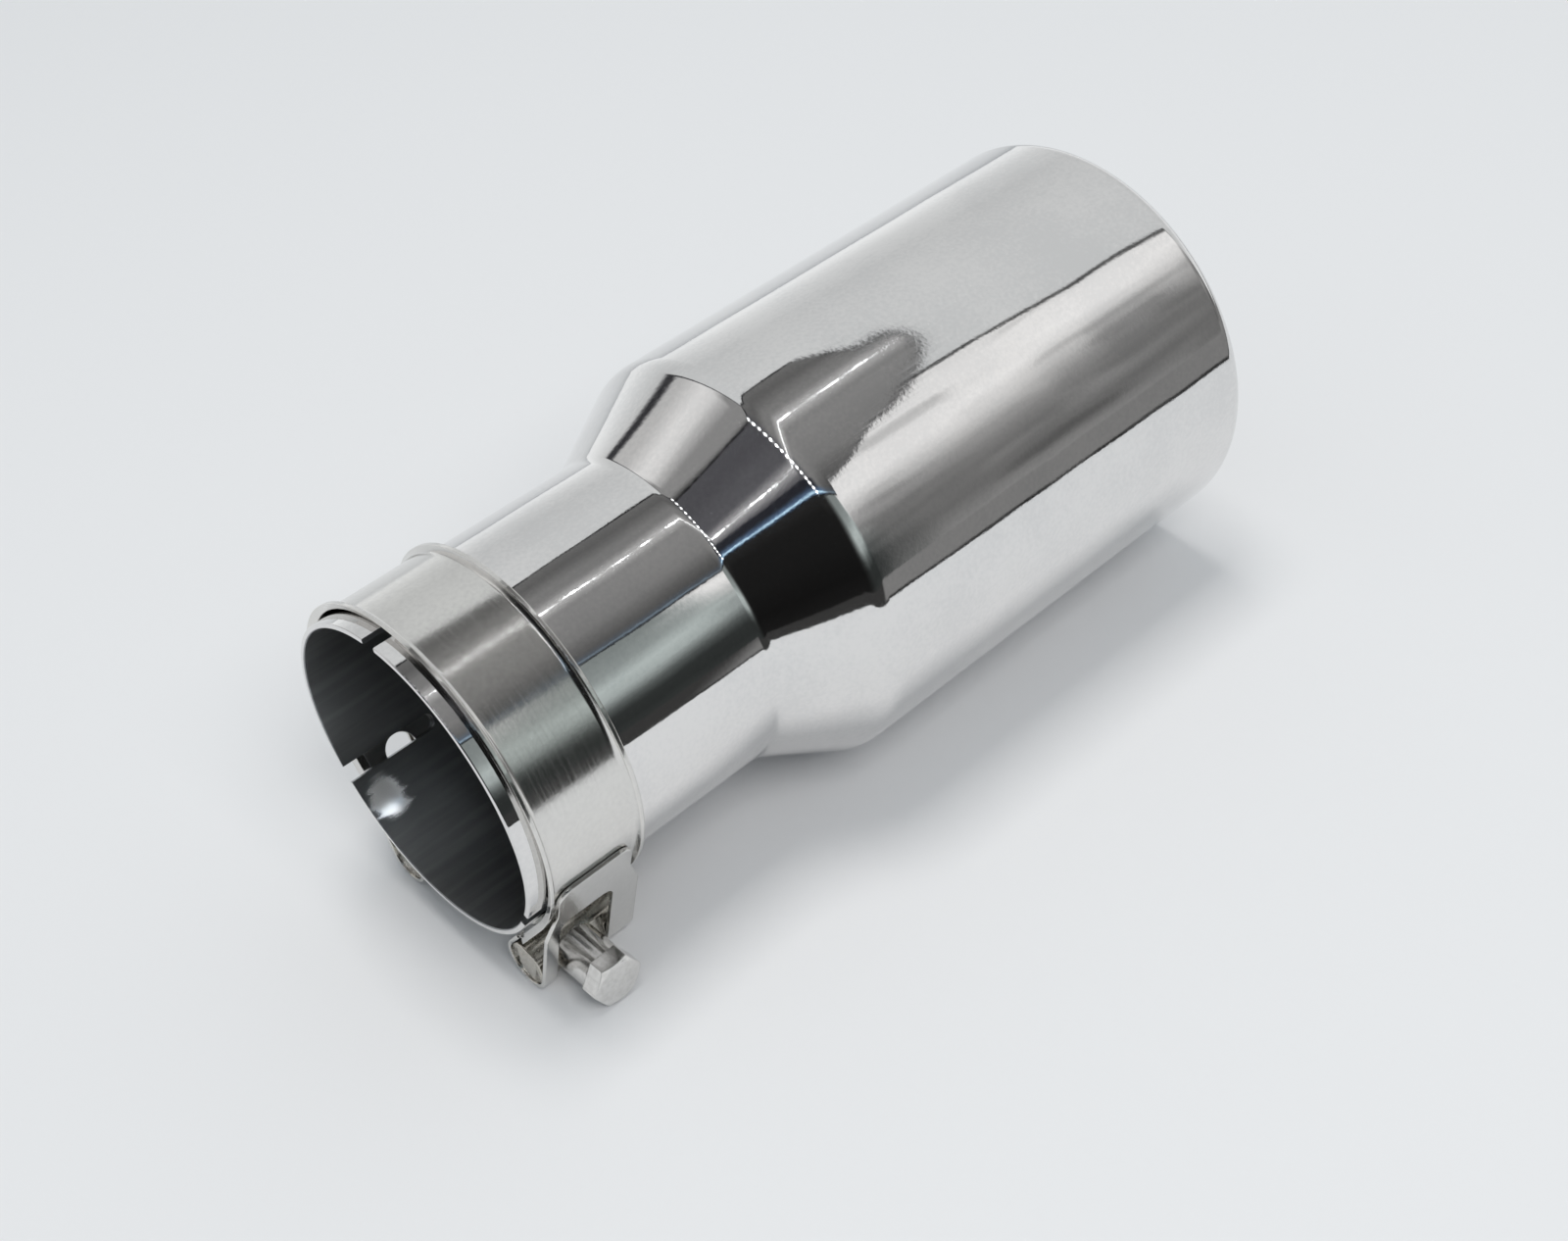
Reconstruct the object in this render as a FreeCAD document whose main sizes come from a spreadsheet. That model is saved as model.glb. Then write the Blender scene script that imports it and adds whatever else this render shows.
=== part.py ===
import FreeCAD, Part
import math
import os

import Sketcher

# Clamp-on exhaust tip: a one-piece stainless shell with a slotted inlet, and the
# bolted band clamp that closes the slotted inlet onto a tailpipe.
# Frame: +X runs from the inlet mouth to the outlet, +Z is up, and the origin is the
# centre of the inlet mouth. The tip lies on its outlet barrel and the two clamp loops.

doc = FreeCAD.newDocument("ExhaustTip")
sheet = doc.addObject("Spreadsheet::Sheet", "Sizes")

sizes = [
    # shell
    ("inletRadius", 33.7, "outside radius of the inlet tube"),
    ("wall", 1.2, "sheet thickness of the shell"),
    ("neckLength", 60.7, "inlet mouth to the start of the cone"),
    ("coneLength", 19.9, "length of the cone along the axis"),
    ("barrelRadius", 44.5, "outside radius of the outlet barrel"),
    ("barrelLength", 105.2, "end of the cone to the outlet's outermost point"),
    ("footRadius", 4.0, "bend radius where the cone leaves the inlet tube"),
    ("headRadius", 8.0, "bend radius where the cone meets the barrel"),
    ("rimRadius", 4.2, "outside radius of the turned-in outlet rim"),
    ("rimLip", 3.6, "straight lip of the rim towards the axis"),
    ("slotWidth", 3.6, "width of each relief slot in the inlet"),
    ("slotLength", 21.0, "inlet mouth to the round end of a slot"),
    ("slotCount", 3, "relief slots around the inlet"),
    ("slotTurn", 2.5, "turn of the slots about the axis, away from the bolt's head"),
    # band
    ("bandStart", 3.1, "inlet mouth to the near edge of the band"),
    ("bandWidth", 22.0, "width of the band over its turned edges"),
    ("bandFit", 0.15, "slip clearance of the slack band on the inlet tube"),
    ("strip", 0.8, "thickness of the band strip"),
    ("lipHeight", 2.1, "height of the turned edges above the band's inner face"),
    ("pinAcross", 19.5, "clamp centre to each trunnion pin, across the gap"),
    ("pinLift", 5.3, "lowest point of the tube down to the trunnion pins' axis"),
    ("lipRunout", 5.5, "plain strip between the end of the turned edges and the pin"),
    ("flapGap", 0.15, "clearance under the folded end of the strip"),
    ("flapWidth", 17.2, "width of the folded end where it lies between the lips"),
    ("flapRise", 14.5, "pin axis up to where the fold reaches full width"),
    ("flapTaper", 7.0, "depth over which the fold widens"),
    ("flapCorner", 3.0, "corner radius at the end of the fold"),
    ("windowWidth", 12.6, "width of the window that the spacer passes through"),
    ("windowRise", 17.7, "pin axis up to the top of that window"),
    ("windowCorner", 2.6, "corner radius at the top of that window"),
    ("tailWindowWidth", 7.0, "width of the window on the nut's side"),
    ("tailWindowRise", 22.0, "pin axis up to the top of that window"),
    ("tailWindowCorner", 3.3, "corner radius at the top of that window"),
    # trunnions, bolt, spacer and bridge
    ("pinRadius", 4.6, "radius of the trunnion pins"),
    ("pinFit", 0.1, "clearance between a pin and its loop"),
    ("pinSetback", 0.4, "pin ends inside the edges of the band"),
    ("pinFlat", 3.5, "pin centre to the flat that the spacer seats on"),
    ("boltShift", 1.6, "bolt axis nearer to the inlet mouth than the band's middle"),
    ("boltRadius", 3.0, "radius of the bolt's shank"),
    ("boltFit", 0.2, "clearance of the bolt in the plain pin and the spacer"),
    ("threadFit", 0.03, "clearance that stands for the thread in the nut pin"),
    ("headAcross", 10.0, "bolt head across its flats"),
    ("headHeight", 4.0, "thickness of the bolt head"),
    ("headBevel", 0.7, "bevel round the outer face of the bolt head"),
    ("boltTail", 5.0, "bolt end beyond the nut pin"),
    ("tailBevel", 0.8, "bevel on the end of the bolt"),
    ("spacerRadius", 4.9, "outside radius of the spacer sleeve"),
    ("spacerLength", 9.0, "length of the spacer sleeve"),
    ("bridgeStrip", 0.7, "thickness of the bridge plate"),
    ("bridgeWidth", 18.0, "width of the bridge plate"),
    ("bridgeSpan", 36.0, "half angle that the bridge plate covers"),
]

for row, (alias, value, note) in enumerate(sizes, start=1):
    sheet.set(f"A{row}", alias)
    sheet.set(f"B{row}", str(value))
    sheet.set(f"C{row}", note)
    sheet.setAlias(f"B{row}", alias)
doc.recompute()


# how the sketcher numbers the points of an edge, a place on a sketch axis, a match and a turn
startPoint, endPoint, centrePoint = range(1, 4)
onAxis = (0, None)
tiny = 1e-4
fullTurn = 360


def size(alias):
    return float(sheet.get(alias))


def bind(target, path, expression):
    """Ties a property or a named constraint to sheet cells written as <alias>."""
    target.setExpression(path, expression.replace("<", "Sizes.").replace(">", ""))


def plane(body, role):
    return next(f for f in body.Origin.OriginFeatures if f.Role == role)


def newSketch(body, name, role, offset=None):
    sketch = body.newObject("Sketcher::SketchObject", name)
    sketch.AttachmentSupport = [(plane(body, role), "")]
    sketch.MapMode = "FlatFace"
    if offset:
        bind(sketch, "AttachmentOffset.Base.z", offset)
    return sketch


def point(x, y):
    return FreeCAD.Vector(x, y, 0)


def line(sketch, start, end):
    return sketch.addGeometry(Part.LineSegment(point(*start), point(*end)), False)


def arc(sketch, centre, radius, start, end):
    circle = Part.Circle(point(*centre), FreeCAD.Vector(0, 0, 1), radius)
    return sketch.addGeometry(Part.ArcOfCircle(circle, math.radians(start), math.radians(end)), False)


def join(sketch, first, firstEnd, second, secondEnd, kind="Coincident"):
    sketch.addConstraint(Sketcher.Constraint(kind, first, firstEnd, second, secondEnd))


def rule(sketch, name, kind, value, expression, *where):
    """Adds a named dimension and ties it to the sheet."""
    index = sketch.addConstraint(Sketcher.Constraint(kind, *where, value))
    sketch.renameConstraint(index, name)
    bind(sketch, f"Constraints.{name}", expression)


def place(sketch, name, geometry, end, x=None, y=None):
    """Fixes a point's distance from the sketch's axes; x and y are (value, expression) or onAxis."""
    for axis, kind, axisLine, given in (("X", "DistanceX", -2, x), ("Y", "DistanceY", -1, y)):
        if given is None:
            continue
        value, expression = given
        if given == onAxis:
            sketch.addConstraint(Sketcher.Constraint("PointOnObject", geometry, end, axisLine))
        else:
            rule(sketch, name + axis, kind, value, expression, -1, startPoint, geometry, end)


def outline(sketch, corners):
    """Closed polygon; each corner is ((x value, x expression), (y value, y expression))."""
    values = [(x[0], y[0]) for x, y in corners]
    edges = [line(sketch, a, b) for a, b in zip(values, values[1:] + values[:1])]
    for number, edge in enumerate(edges):
        join(sketch, edge, endPoint, edges[(number + 1) % len(edges)], startPoint)
        place(sketch, f"corner{number}", edge, startPoint, *corners[number])
    return edges


# The shell: one sheet that runs from the inlet tube through the cone to the barrel,
# and rolls in at the outlet.
shell = doc.addObject("PartDesign::Body", "TipShell")
shell.Label = "tip_shell"

inletRadius, wall = size("inletRadius"), size("wall")
coneStart = size("neckLength")
coneEnd = coneStart + size("coneLength")
overall = coneEnd + size("barrelLength")
barrelRadius, rimRadius = size("barrelRadius"), size("rimRadius")
rimStart = overall - rimRadius
lipRadius = barrelRadius - rimRadius - size("rimLip")
coneAngle = math.atan2(barrelRadius - inletRadius, size("coneLength"))
miter = wall * math.tan(coneAngle / 2)
slant = math.sqrt(0.5)
rimInside = rimRadius - wall

section = newSketch(shell, "ShellSection", "XZ_Plane")
coneEndX = "(<neckLength> + <coneLength>)"
overallX = f"({coneEndX} + <barrelLength>)"
rimStartX = f"({overallX} - <rimRadius>)"
miterX = "<wall> * tan(0.5 * atan((<barrelRadius> - <inletRadius>) / <coneLength>))"
slantX = "sqrt(0.5)"
rimCentre = (rimStart, barrelRadius - rimRadius)
rimCentreX = (rimStartX, "(<barrelRadius> - <rimRadius>)")

# the outer line, with a round bend at the foot and the head of the cone
footCorner, headCorner = (coneStart, inletRadius), (coneEnd, barrelRadius)
footRadius, headRadius = size("footRadius"), size("headRadius")
footReach, headReach = footRadius * math.tan(coneAngle / 2), headRadius * math.tan(coneAngle / 2)
alongCone, awayFromAxis = math.cos(coneAngle), math.sin(coneAngle)
footIn = (coneStart - footReach, inletRadius)
footOut = (coneStart + footReach * alongCone, inletRadius + footReach * awayFromAxis)
headIn = (coneEnd - headReach * alongCone, barrelRadius - headReach * awayFromAxis)
headOut = (coneEnd + headReach, barrelRadius)
coneTurn = math.degrees(coneAngle)
neckLine = line(section, (0, inletRadius), footIn)
footBend = arc(section, (footIn[0], inletRadius + footRadius), footRadius, -90, coneTurn - 90)
coneLine = line(section, footOut, headIn)
headBend = arc(section, (headOut[0], barrelRadius - headRadius), headRadius, 90, 90 + coneTurn)
barrelLine = line(section, headOut, (rimStart, barrelRadius))
rim = arc(section, rimCentre, rimRadius, 0, 90)
coneSpan = section.addGeometry(Part.LineSegment(point(*footCorner), point(*headCorner)), True)
join(section, neckLine, endPoint, footBend, startPoint, "Tangent")
join(section, footBend, endPoint, coneLine, startPoint, "Tangent")
join(section, coneLine, endPoint, headBend, endPoint, "Tangent")
join(section, headBend, startPoint, barrelLine, startPoint, "Tangent")
join(section, barrelLine, endPoint, rim, endPoint)
for level in (neckLine, barrelLine):
    section.addConstraint(Sketcher.Constraint("Horizontal", level))
for end in (startPoint, endPoint):
    section.addConstraint(Sketcher.Constraint("PointOnObject", coneLine, end, coneSpan))
place(section, "mouth", neckLine, startPoint, onAxis, (inletRadius, "<inletRadius>"))
place(section, "foot", coneSpan, startPoint, (coneStart, "<neckLength>"), (inletRadius, "<inletRadius>"))
place(section, "head", coneSpan, endPoint, (coneEnd, coneEndX), (barrelRadius, "<barrelRadius>"))
place(section, "rimTop", barrelLine, endPoint, (rimStart, rimStartX), (barrelRadius, "<barrelRadius>"))
rule(section, "footRound", "Radius", footRadius, "<footRadius>", footBend)
rule(section, "headRound", "Radius", headRadius, "<headRadius>", headBend)
rule(section, "rimRound", "Radius", rimRadius, "<rimRadius>", rim)

# the lip and the inner line, from the rim back to the mouth
innerCorners = [
    ((overall, overallX), (rimCentre[1], rimCentreX[1])),
    ((overall, overallX), (lipRadius, f"{rimCentreX[1]} - <rimLip>")),
    ((overall - wall, f"{overallX} - <wall>"), (lipRadius, f"{rimCentreX[1]} - <rimLip>")),
    ((overall - wall, f"{overallX} - <wall>"), (rimCentre[1], rimCentreX[1])),
    (
        (rimStart + slant * rimInside, f"{rimStartX} + {slantX} * (<rimRadius> - <wall>)"),
        (rimCentre[1] + slant * rimInside, f"{rimCentreX[1]} + {slantX} * (<rimRadius> - <wall>)"),
    ),
    ((rimStart, rimStartX), (barrelRadius - wall, "<barrelRadius> - <wall>")),
    ((coneEnd + miter, f"{coneEndX} + {miterX}"), (barrelRadius - wall, "<barrelRadius> - <wall>")),
    ((coneStart + miter, f"<neckLength> + {miterX}"), (inletRadius - wall, "<inletRadius> - <wall>")),
    (onAxis, (inletRadius - wall, "<inletRadius> - <wall>")),
]
innerPoints = [(x[0], y[0]) for x, y in innerCorners] + [(0, inletRadius)]
innerLines = [line(section, start, end) for start, end in zip(innerPoints, innerPoints[1:])]
for number, (edge, corner) in enumerate(zip(innerLines, innerCorners)):
    place(section, f"corner{number}", edge, startPoint, *corner)
for edge, following in zip(innerLines, innerLines[1:]):
    join(section, edge, endPoint, following, startPoint)
join(section, rim, startPoint, innerLines[0], startPoint)
join(section, innerLines[-1], endPoint, neckLine, startPoint)

shellSheet = shell.newObject("PartDesign::Revolution", "ShellSheet")
shellSheet.Profile = section
shellSheet.ReferenceAxis = (section, ["H_Axis"])
shellSheet.Angle = fullTurn
doc.recompute()

slotWidth, slotLength = size("slotWidth"), size("slotLength")
slotHalf = slotWidth / 2
slotRun = slotLength - slotHalf
slotSketch = newSketch(shell, "SlotSketch", "XY_Plane")
slotTilt = FreeCAD.Rotation(FreeCAD.Vector(1, 0, 0), -size("slotTurn"))
slotSketch.AttachmentOffset = FreeCAD.Placement(FreeCAD.Vector(), slotTilt)
bind(slotSketch, "AttachmentOffset.Rotation.Angle", "-<slotTurn> * 1 deg")
slotMouth = line(slotSketch, (0, -slotHalf), (0, slotHalf))
slotUpper = line(slotSketch, (0, slotHalf), (slotRun, slotHalf))
slotRound = arc(slotSketch, (slotRun, 0), slotHalf, -90, 90)
slotLower = line(slotSketch, (slotRun, -slotHalf), (0, -slotHalf))
join(slotSketch, slotMouth, endPoint, slotUpper, startPoint)
join(slotSketch, slotUpper, endPoint, slotRound, endPoint, "Tangent")
join(slotSketch, slotRound, startPoint, slotLower, startPoint, "Tangent")
join(slotSketch, slotLower, endPoint, slotMouth, startPoint)
place(slotSketch, "slotFoot", slotMouth, startPoint, onAxis, (-slotHalf, "-0.5 * <slotWidth>"))
place(slotSketch, "slotHead", slotMouth, endPoint, onAxis, (slotHalf, "0.5 * <slotWidth>"))
place(
    slotSketch, "slotCentre", slotRound, centrePoint,
    (slotRun, "<slotLength> - 0.5 * <slotWidth>"), onAxis,
)
slotCut = shell.newObject("PartDesign::Pocket", "SlotCut")
slotCut.Profile = slotSketch
slotCut.Type = "Length"
bind(slotCut, "Length", "2 * <inletRadius>")
slotCut.Reversed = True
doc.recompute()
slots = shell.newObject("PartDesign::PolarPattern", "Slots")
slots.Originals = [slotCut]
slots.Axis = (plane(shell, "X_Axis"), [""])
slots.Angle = fullTurn
bind(slots, "Occurrences", "<slotCount>")
shell.Tip = slots
doc.recompute()

# The band clamp: one strip with turned-out edges that runs round the inlet, leaves it on a
# tangent, folds round a trunnion pin and comes back to end on its own outer face.
# One half is modelled and mirrored across the gap.
ringInner = inletRadius + size("bandFit")
strip = size("strip")
ringOuter = ringInner + strip
bandStart, bandWidth = size("bandStart"), size("bandWidth")
bandMiddle = bandStart + bandWidth / 2
pinAcross, pinDrop = size("pinAcross"), inletRadius + size("pinLift")
pinDropX = "(<inletRadius> + <pinLift>)"
pinReach = math.hypot(pinAcross, pinDrop)
pinBearing = math.atan2(pinAcross, pinDrop)
loopInner = size("pinRadius") + size("pinFit")
loopOuter = loopInner + strip
lipHeight = size("lipHeight")
ringInnerX = "(<inletRadius> + <bandFit>)"
loopInnerX = "(<pinRadius> + <pinFit>)"
bandMiddleX = "(<bandStart> + 0.5 * <bandWidth>)"


def polar(radius, bearing):
    """Point at a bearing from straight down towards the head side, which is -Y."""
    return (-radius * math.sin(bearing), -radius * math.cos(bearing))


def shifted(start, bearing, distance):
    step = polar(distance, bearing)
    return (start[0] + step[0], start[1] + step[1])


# bearings of the two tangents between the ring and the loop
innerBearing = pinBearing + math.acos((ringInner + loopOuter) / pinReach)
flapRing = ringOuter + size("flapGap")
outerBearing = pinBearing + math.acos((flapRing - loopInner) / pinReach)
pinCentre = (-pinAcross, -pinDrop)
innerRun = pinReach * math.sin(innerBearing - pinBearing)
outerRun = pinReach * math.sin(outerBearing - pinBearing)
lipEnd = innerRun - size("lipRunout")

bandHalf = doc.addObject("PartDesign::Body", "BandHalf")
loopSketch = newSketch(bandHalf, "LoopSketch", "YZ_Plane", "<bandStart>")
quarter = math.pi / 2
foldFar = shifted(pinCentre, innerBearing, -loopInner)
foldNear = shifted(pinCentre, innerBearing, -loopOuter)
backNear = shifted(pinCentre, outerBearing, loopInner)
backFar = shifted(pinCentre, outerBearing, loopOuter)
runout = size("lipRunout")
joinNear = shifted(foldNear, innerBearing + quarter, runout)
joinFar = shifted(foldFar, innerBearing + quarter, runout)
flapNear = shifted(backNear, outerBearing + quarter, outerRun)
flapFar = shifted(backFar, outerBearing + quarter, outerRun)


def angleAt(centre, where):
    return math.degrees(math.atan2(where[1] - centre[1], where[0] - centre[0]))


outerStart, outerEnd = angleAt(pinCentre, backFar), angleAt(pinCentre, foldNear)
if outerEnd < outerStart:
    outerEnd += fullTurn
wrapOuter = arc(loopSketch, pinCentre, loopOuter, outerStart, outerEnd)
wrapInner = arc(loopSketch, pinCentre, loopInner, outerStart, outerEnd)
flapOuter = line(loopSketch, backFar, flapFar)
flapTip = line(loopSketch, flapFar, flapNear)
flapInner = line(loopSketch, flapNear, backNear)
tailNear = line(loopSketch, foldNear, joinNear)
tailJoin = line(loopSketch, joinNear, joinFar)
tailFar = line(loopSketch, joinFar, foldFar)
ringCircle = loopSketch.addGeometry(Part.Circle(point(0, 0), FreeCAD.Vector(0, 0, 1), ringInner), True)
flapSpoke = loopSketch.addGeometry(Part.LineSegment(point(0, 0), point(*flapNear)), True)
join(loopSketch, wrapOuter, startPoint, flapOuter, startPoint, "Tangent")
join(loopSketch, flapOuter, endPoint, flapTip, startPoint)
join(loopSketch, flapTip, endPoint, flapInner, startPoint)
join(loopSketch, flapInner, endPoint, wrapInner, startPoint, "Tangent")
join(loopSketch, wrapOuter, endPoint, tailNear, startPoint, "Tangent")
join(loopSketch, tailNear, endPoint, tailJoin, startPoint)
join(loopSketch, tailJoin, endPoint, tailFar, startPoint)
join(loopSketch, tailFar, endPoint, wrapInner, endPoint, "Tangent")
loopSketch.addConstraint(Sketcher.Constraint("Coincident", ringCircle, centrePoint, -1, startPoint))
loopSketch.addConstraint(Sketcher.Constraint("Coincident", flapSpoke, startPoint, -1, startPoint))
loopSketch.addConstraint(Sketcher.Constraint("Coincident", flapSpoke, endPoint, flapInner, startPoint))
loopSketch.addConstraint(Sketcher.Constraint("Coincident", wrapOuter, centrePoint, wrapInner, centrePoint))
loopSketch.addConstraint(Sketcher.Constraint("Tangent", tailNear, ringCircle))
loopSketch.addConstraint(Sketcher.Constraint("Perpendicular", flapSpoke, flapInner))
loopSketch.addConstraint(Sketcher.Constraint("Parallel", flapOuter, flapInner))
loopSketch.addConstraint(Sketcher.Constraint("Parallel", tailFar, tailNear))
loopSketch.addConstraint(Sketcher.Constraint("Perpendicular", flapTip, flapInner))
loopSketch.addConstraint(Sketcher.Constraint("Perpendicular", tailJoin, tailNear))
rule(loopSketch, "ringRadius", "Radius", ringInner, ringInnerX, ringCircle)
rule(loopSketch, "flapRadius", "Distance", flapRing, f"{ringInnerX} + <strip> + <flapGap>", flapSpoke)
rule(loopSketch, "loopInside", "Radius", loopInner, loopInnerX, wrapInner)
rule(loopSketch, "loopOutside", "Radius", loopOuter, f"{loopInnerX} + <strip>", wrapOuter)
rule(loopSketch, "runout", "Distance", runout, "<lipRunout>", tailNear)
place(
    loopSketch, "pinAt", wrapInner, centrePoint,
    (-pinAcross, "-<pinAcross>"), (-pinDrop, f"-{pinDropX}"),
)
loopPad = bandHalf.newObject("PartDesign::Pad", "LoopPad")
loopPad.Profile = loopSketch
bind(loopPad, "Length", "<bandWidth>")
doc.recompute()

# the folded end is cut narrow where it lies between the turned edges
shoulder, taper = pinDrop - size("flapRise"), size("flapTaper")
shoulderX = f"({pinDropX} - <flapRise>)"
flapHalf = size("flapWidth") / 2
trimSketch = newSketch(bandHalf, "TrimSketch", "XZ_Plane")
flapHalfX = "0.5 * <flapWidth>"
for side, sign, edge, edgeX in (
    ("near", -1, bandStart, "<bandStart>"),
    ("far", 1, bandStart + bandWidth, "<bandStart> + <bandWidth>"),
):
    signX = "-" if sign < 0 else "+"
    inner = bandMiddle + sign * flapHalf
    corners = [
        ((edge, edgeX), (-shoulder, f"-{shoulderX}")),
        ((inner, f"{bandMiddleX} {signX} {flapHalfX}"), (taper - shoulder, f"<flapTaper> - {shoulderX}")),
        ((inner, f"{bandMiddleX} {signX} {flapHalfX}"), onAxis),
        ((edge, edgeX), onAxis),
    ]
    values = [(x[0], y[0]) for x, y in corners]
    edges = [line(trimSketch, a, b) for a, b in zip(values, values[1:] + values[:1])]
    for number, piece in enumerate(edges):
        join(trimSketch, piece, endPoint, edges[(number + 1) % len(edges)], startPoint)
        place(trimSketch, f"{side}{number}", piece, startPoint, *corners[number])
trim = bandHalf.newObject("PartDesign::Pocket", "FlapTrim")
trim.Profile = trimSketch
trim.Type = "Length"
bind(trim, "Length", "2 * <barrelRadius>")
trim.Midplane = True
doc.recompute()


def edgesWhere(feature, test):
    return [f"Edge{n}" for n, e in enumerate(feature.Shape.Edges, start=1) if test(e)]


def isFlapCorner(edge):
    """A short edge through the strip at the end of the fold."""
    return (
        abs(edge.Length - strip) < tiny
        and edge.BoundBox.XLength < tiny
        and min(math.dist((v.Y, v.Z), flapFar) for v in edge.Vertexes) < tiny
    )


flapEnd = bandHalf.newObject("PartDesign::Fillet", "FlapEnd")
flapEnd.Base = (trim, edgesWhere(trim, isFlapCorner))
bind(flapEnd, "Radius", "<flapCorner>")
doc.recompute()

# the strip with its turned edges, swept from the top of the ring to the loop
ringMiddle = ringInner + strip / 2
ringMiddleX = f"({ringInnerX} + 0.5 * <strip>)"
pathSketch = newSketch(bandHalf, "BandPath", "YZ_Plane", bandMiddleX)
leave = polar(ringMiddle, innerBearing)
pathEnd = shifted(leave, innerBearing - quarter, lipEnd)
ringPath = arc(pathSketch, (0, 0), ringMiddle, 90, angleAt((0, 0), leave) % fullTurn)
tangentPath = line(pathSketch, leave, pathEnd)
join(pathSketch, ringPath, endPoint, tangentPath, startPoint, "Tangent")
pathSketch.addConstraint(Sketcher.Constraint("Coincident", ringPath, centrePoint, -1, startPoint))
place(pathSketch, "pathTop", ringPath, startPoint, onAxis, (ringMiddle, ringMiddleX))
touch = shifted(pathEnd, innerBearing - quarter, runout)
rest = pathSketch.addGeometry(Part.LineSegment(point(*pathEnd), point(*touch)), True)
pinSpoke = pathSketch.addGeometry(Part.LineSegment(point(*pinCentre), point(*touch)), True)
join(pathSketch, tangentPath, endPoint, rest, startPoint)
join(pathSketch, rest, endPoint, pinSpoke, endPoint)
pathSketch.addConstraint(Sketcher.Constraint("Parallel", tangentPath, rest))
pathSketch.addConstraint(Sketcher.Constraint("Perpendicular", pinSpoke, rest))
place(
    pathSketch, "pinSpoke", pinSpoke, startPoint,
    (-pinAcross, "-<pinAcross>"), (-pinDrop, f"-{pinDropX}"),
)
rule(pathSketch, "spoke", "Distance", loopInner + strip / 2, f"{loopInnerX} + 0.5 * <strip>", pinSpoke)
rule(pathSketch, "runout", "Distance", runout, "<lipRunout>", rest)

lipSketch = newSketch(bandHalf, "LipSection", "XZ_Plane")
lipTop = ringInner + lipHeight
lipTopX = f"{ringInnerX} + <lipHeight>"
nearEdge, farEdge = bandStart, bandStart + bandWidth
farEdgeX = "<bandStart> + <bandWidth>"
lipInside = lipHeight - strip
lipInsideX = "(<lipHeight> - <strip>)"
lipNear = []
lipFar = []
for radius, radiusX, cosine, cosineX, sine, sineX in (
    (lipHeight, "<lipHeight>", 1, "1", 0, "0"),
    (lipHeight, "<lipHeight>", slant, slantX, slant, slantX),
    (lipHeight, "<lipHeight>", 0, "0", 1, "1"),
    (lipInside, lipInsideX, 0, "0", 1, "1"),
    (lipInside, lipInsideX, slant, slantX, slant, slantX),
    (lipInside, lipInsideX, 1, "1", 0, "0"),
):
    reach, reachX = lipHeight - radius * cosine, f"(<lipHeight> - {radiusX} * {cosineX})"
    height = (lipTop - radius * sine, f"{lipTopX} - {radiusX} * {sineX}")
    lipNear.append(((nearEdge + reach, f"<bandStart> + {reachX}"), height))
    lipFar.append(((farEdge - reach, f"{farEdgeX} - {reachX}"), height))
outline(lipSketch, lipNear[:3] + lipFar[2::-1] + lipFar[:2:-1] + lipNear[3:])
doc.recompute()
bandSweep = bandHalf.newObject("PartDesign::AdditivePipe", "BandSweep")
bandSweep.Profile = lipSketch
bandSweep.Spine = (pathSketch, [])
doc.recompute()

bandOther = doc.addObject("Part::Mirroring", "BandOther")
bandOther.Source = bandHalf
bandOther.Base = (0, 0, 0)
bandOther.Normal = (0, 1, 0)
bandBlank = doc.addObject("Part::Fuse", "BandBlank")
bandBlank.Base = bandHalf
bandBlank.Tool = bandOther
bandBlank.Refine = True
doc.recompute()

# each loop has a window for the bolt, open round the fold, with two round corners at the top
boltMiddle = bandMiddle - size("boltShift")
boltMiddleX = "(<bandStart> + 0.5 * <bandWidth> - <boltShift>)"
windowLow = pinDrop + 2 * loopOuter
windowLowX = f"-{pinDropX} - 2 * ({loopInnerX} + <strip>)"


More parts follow.
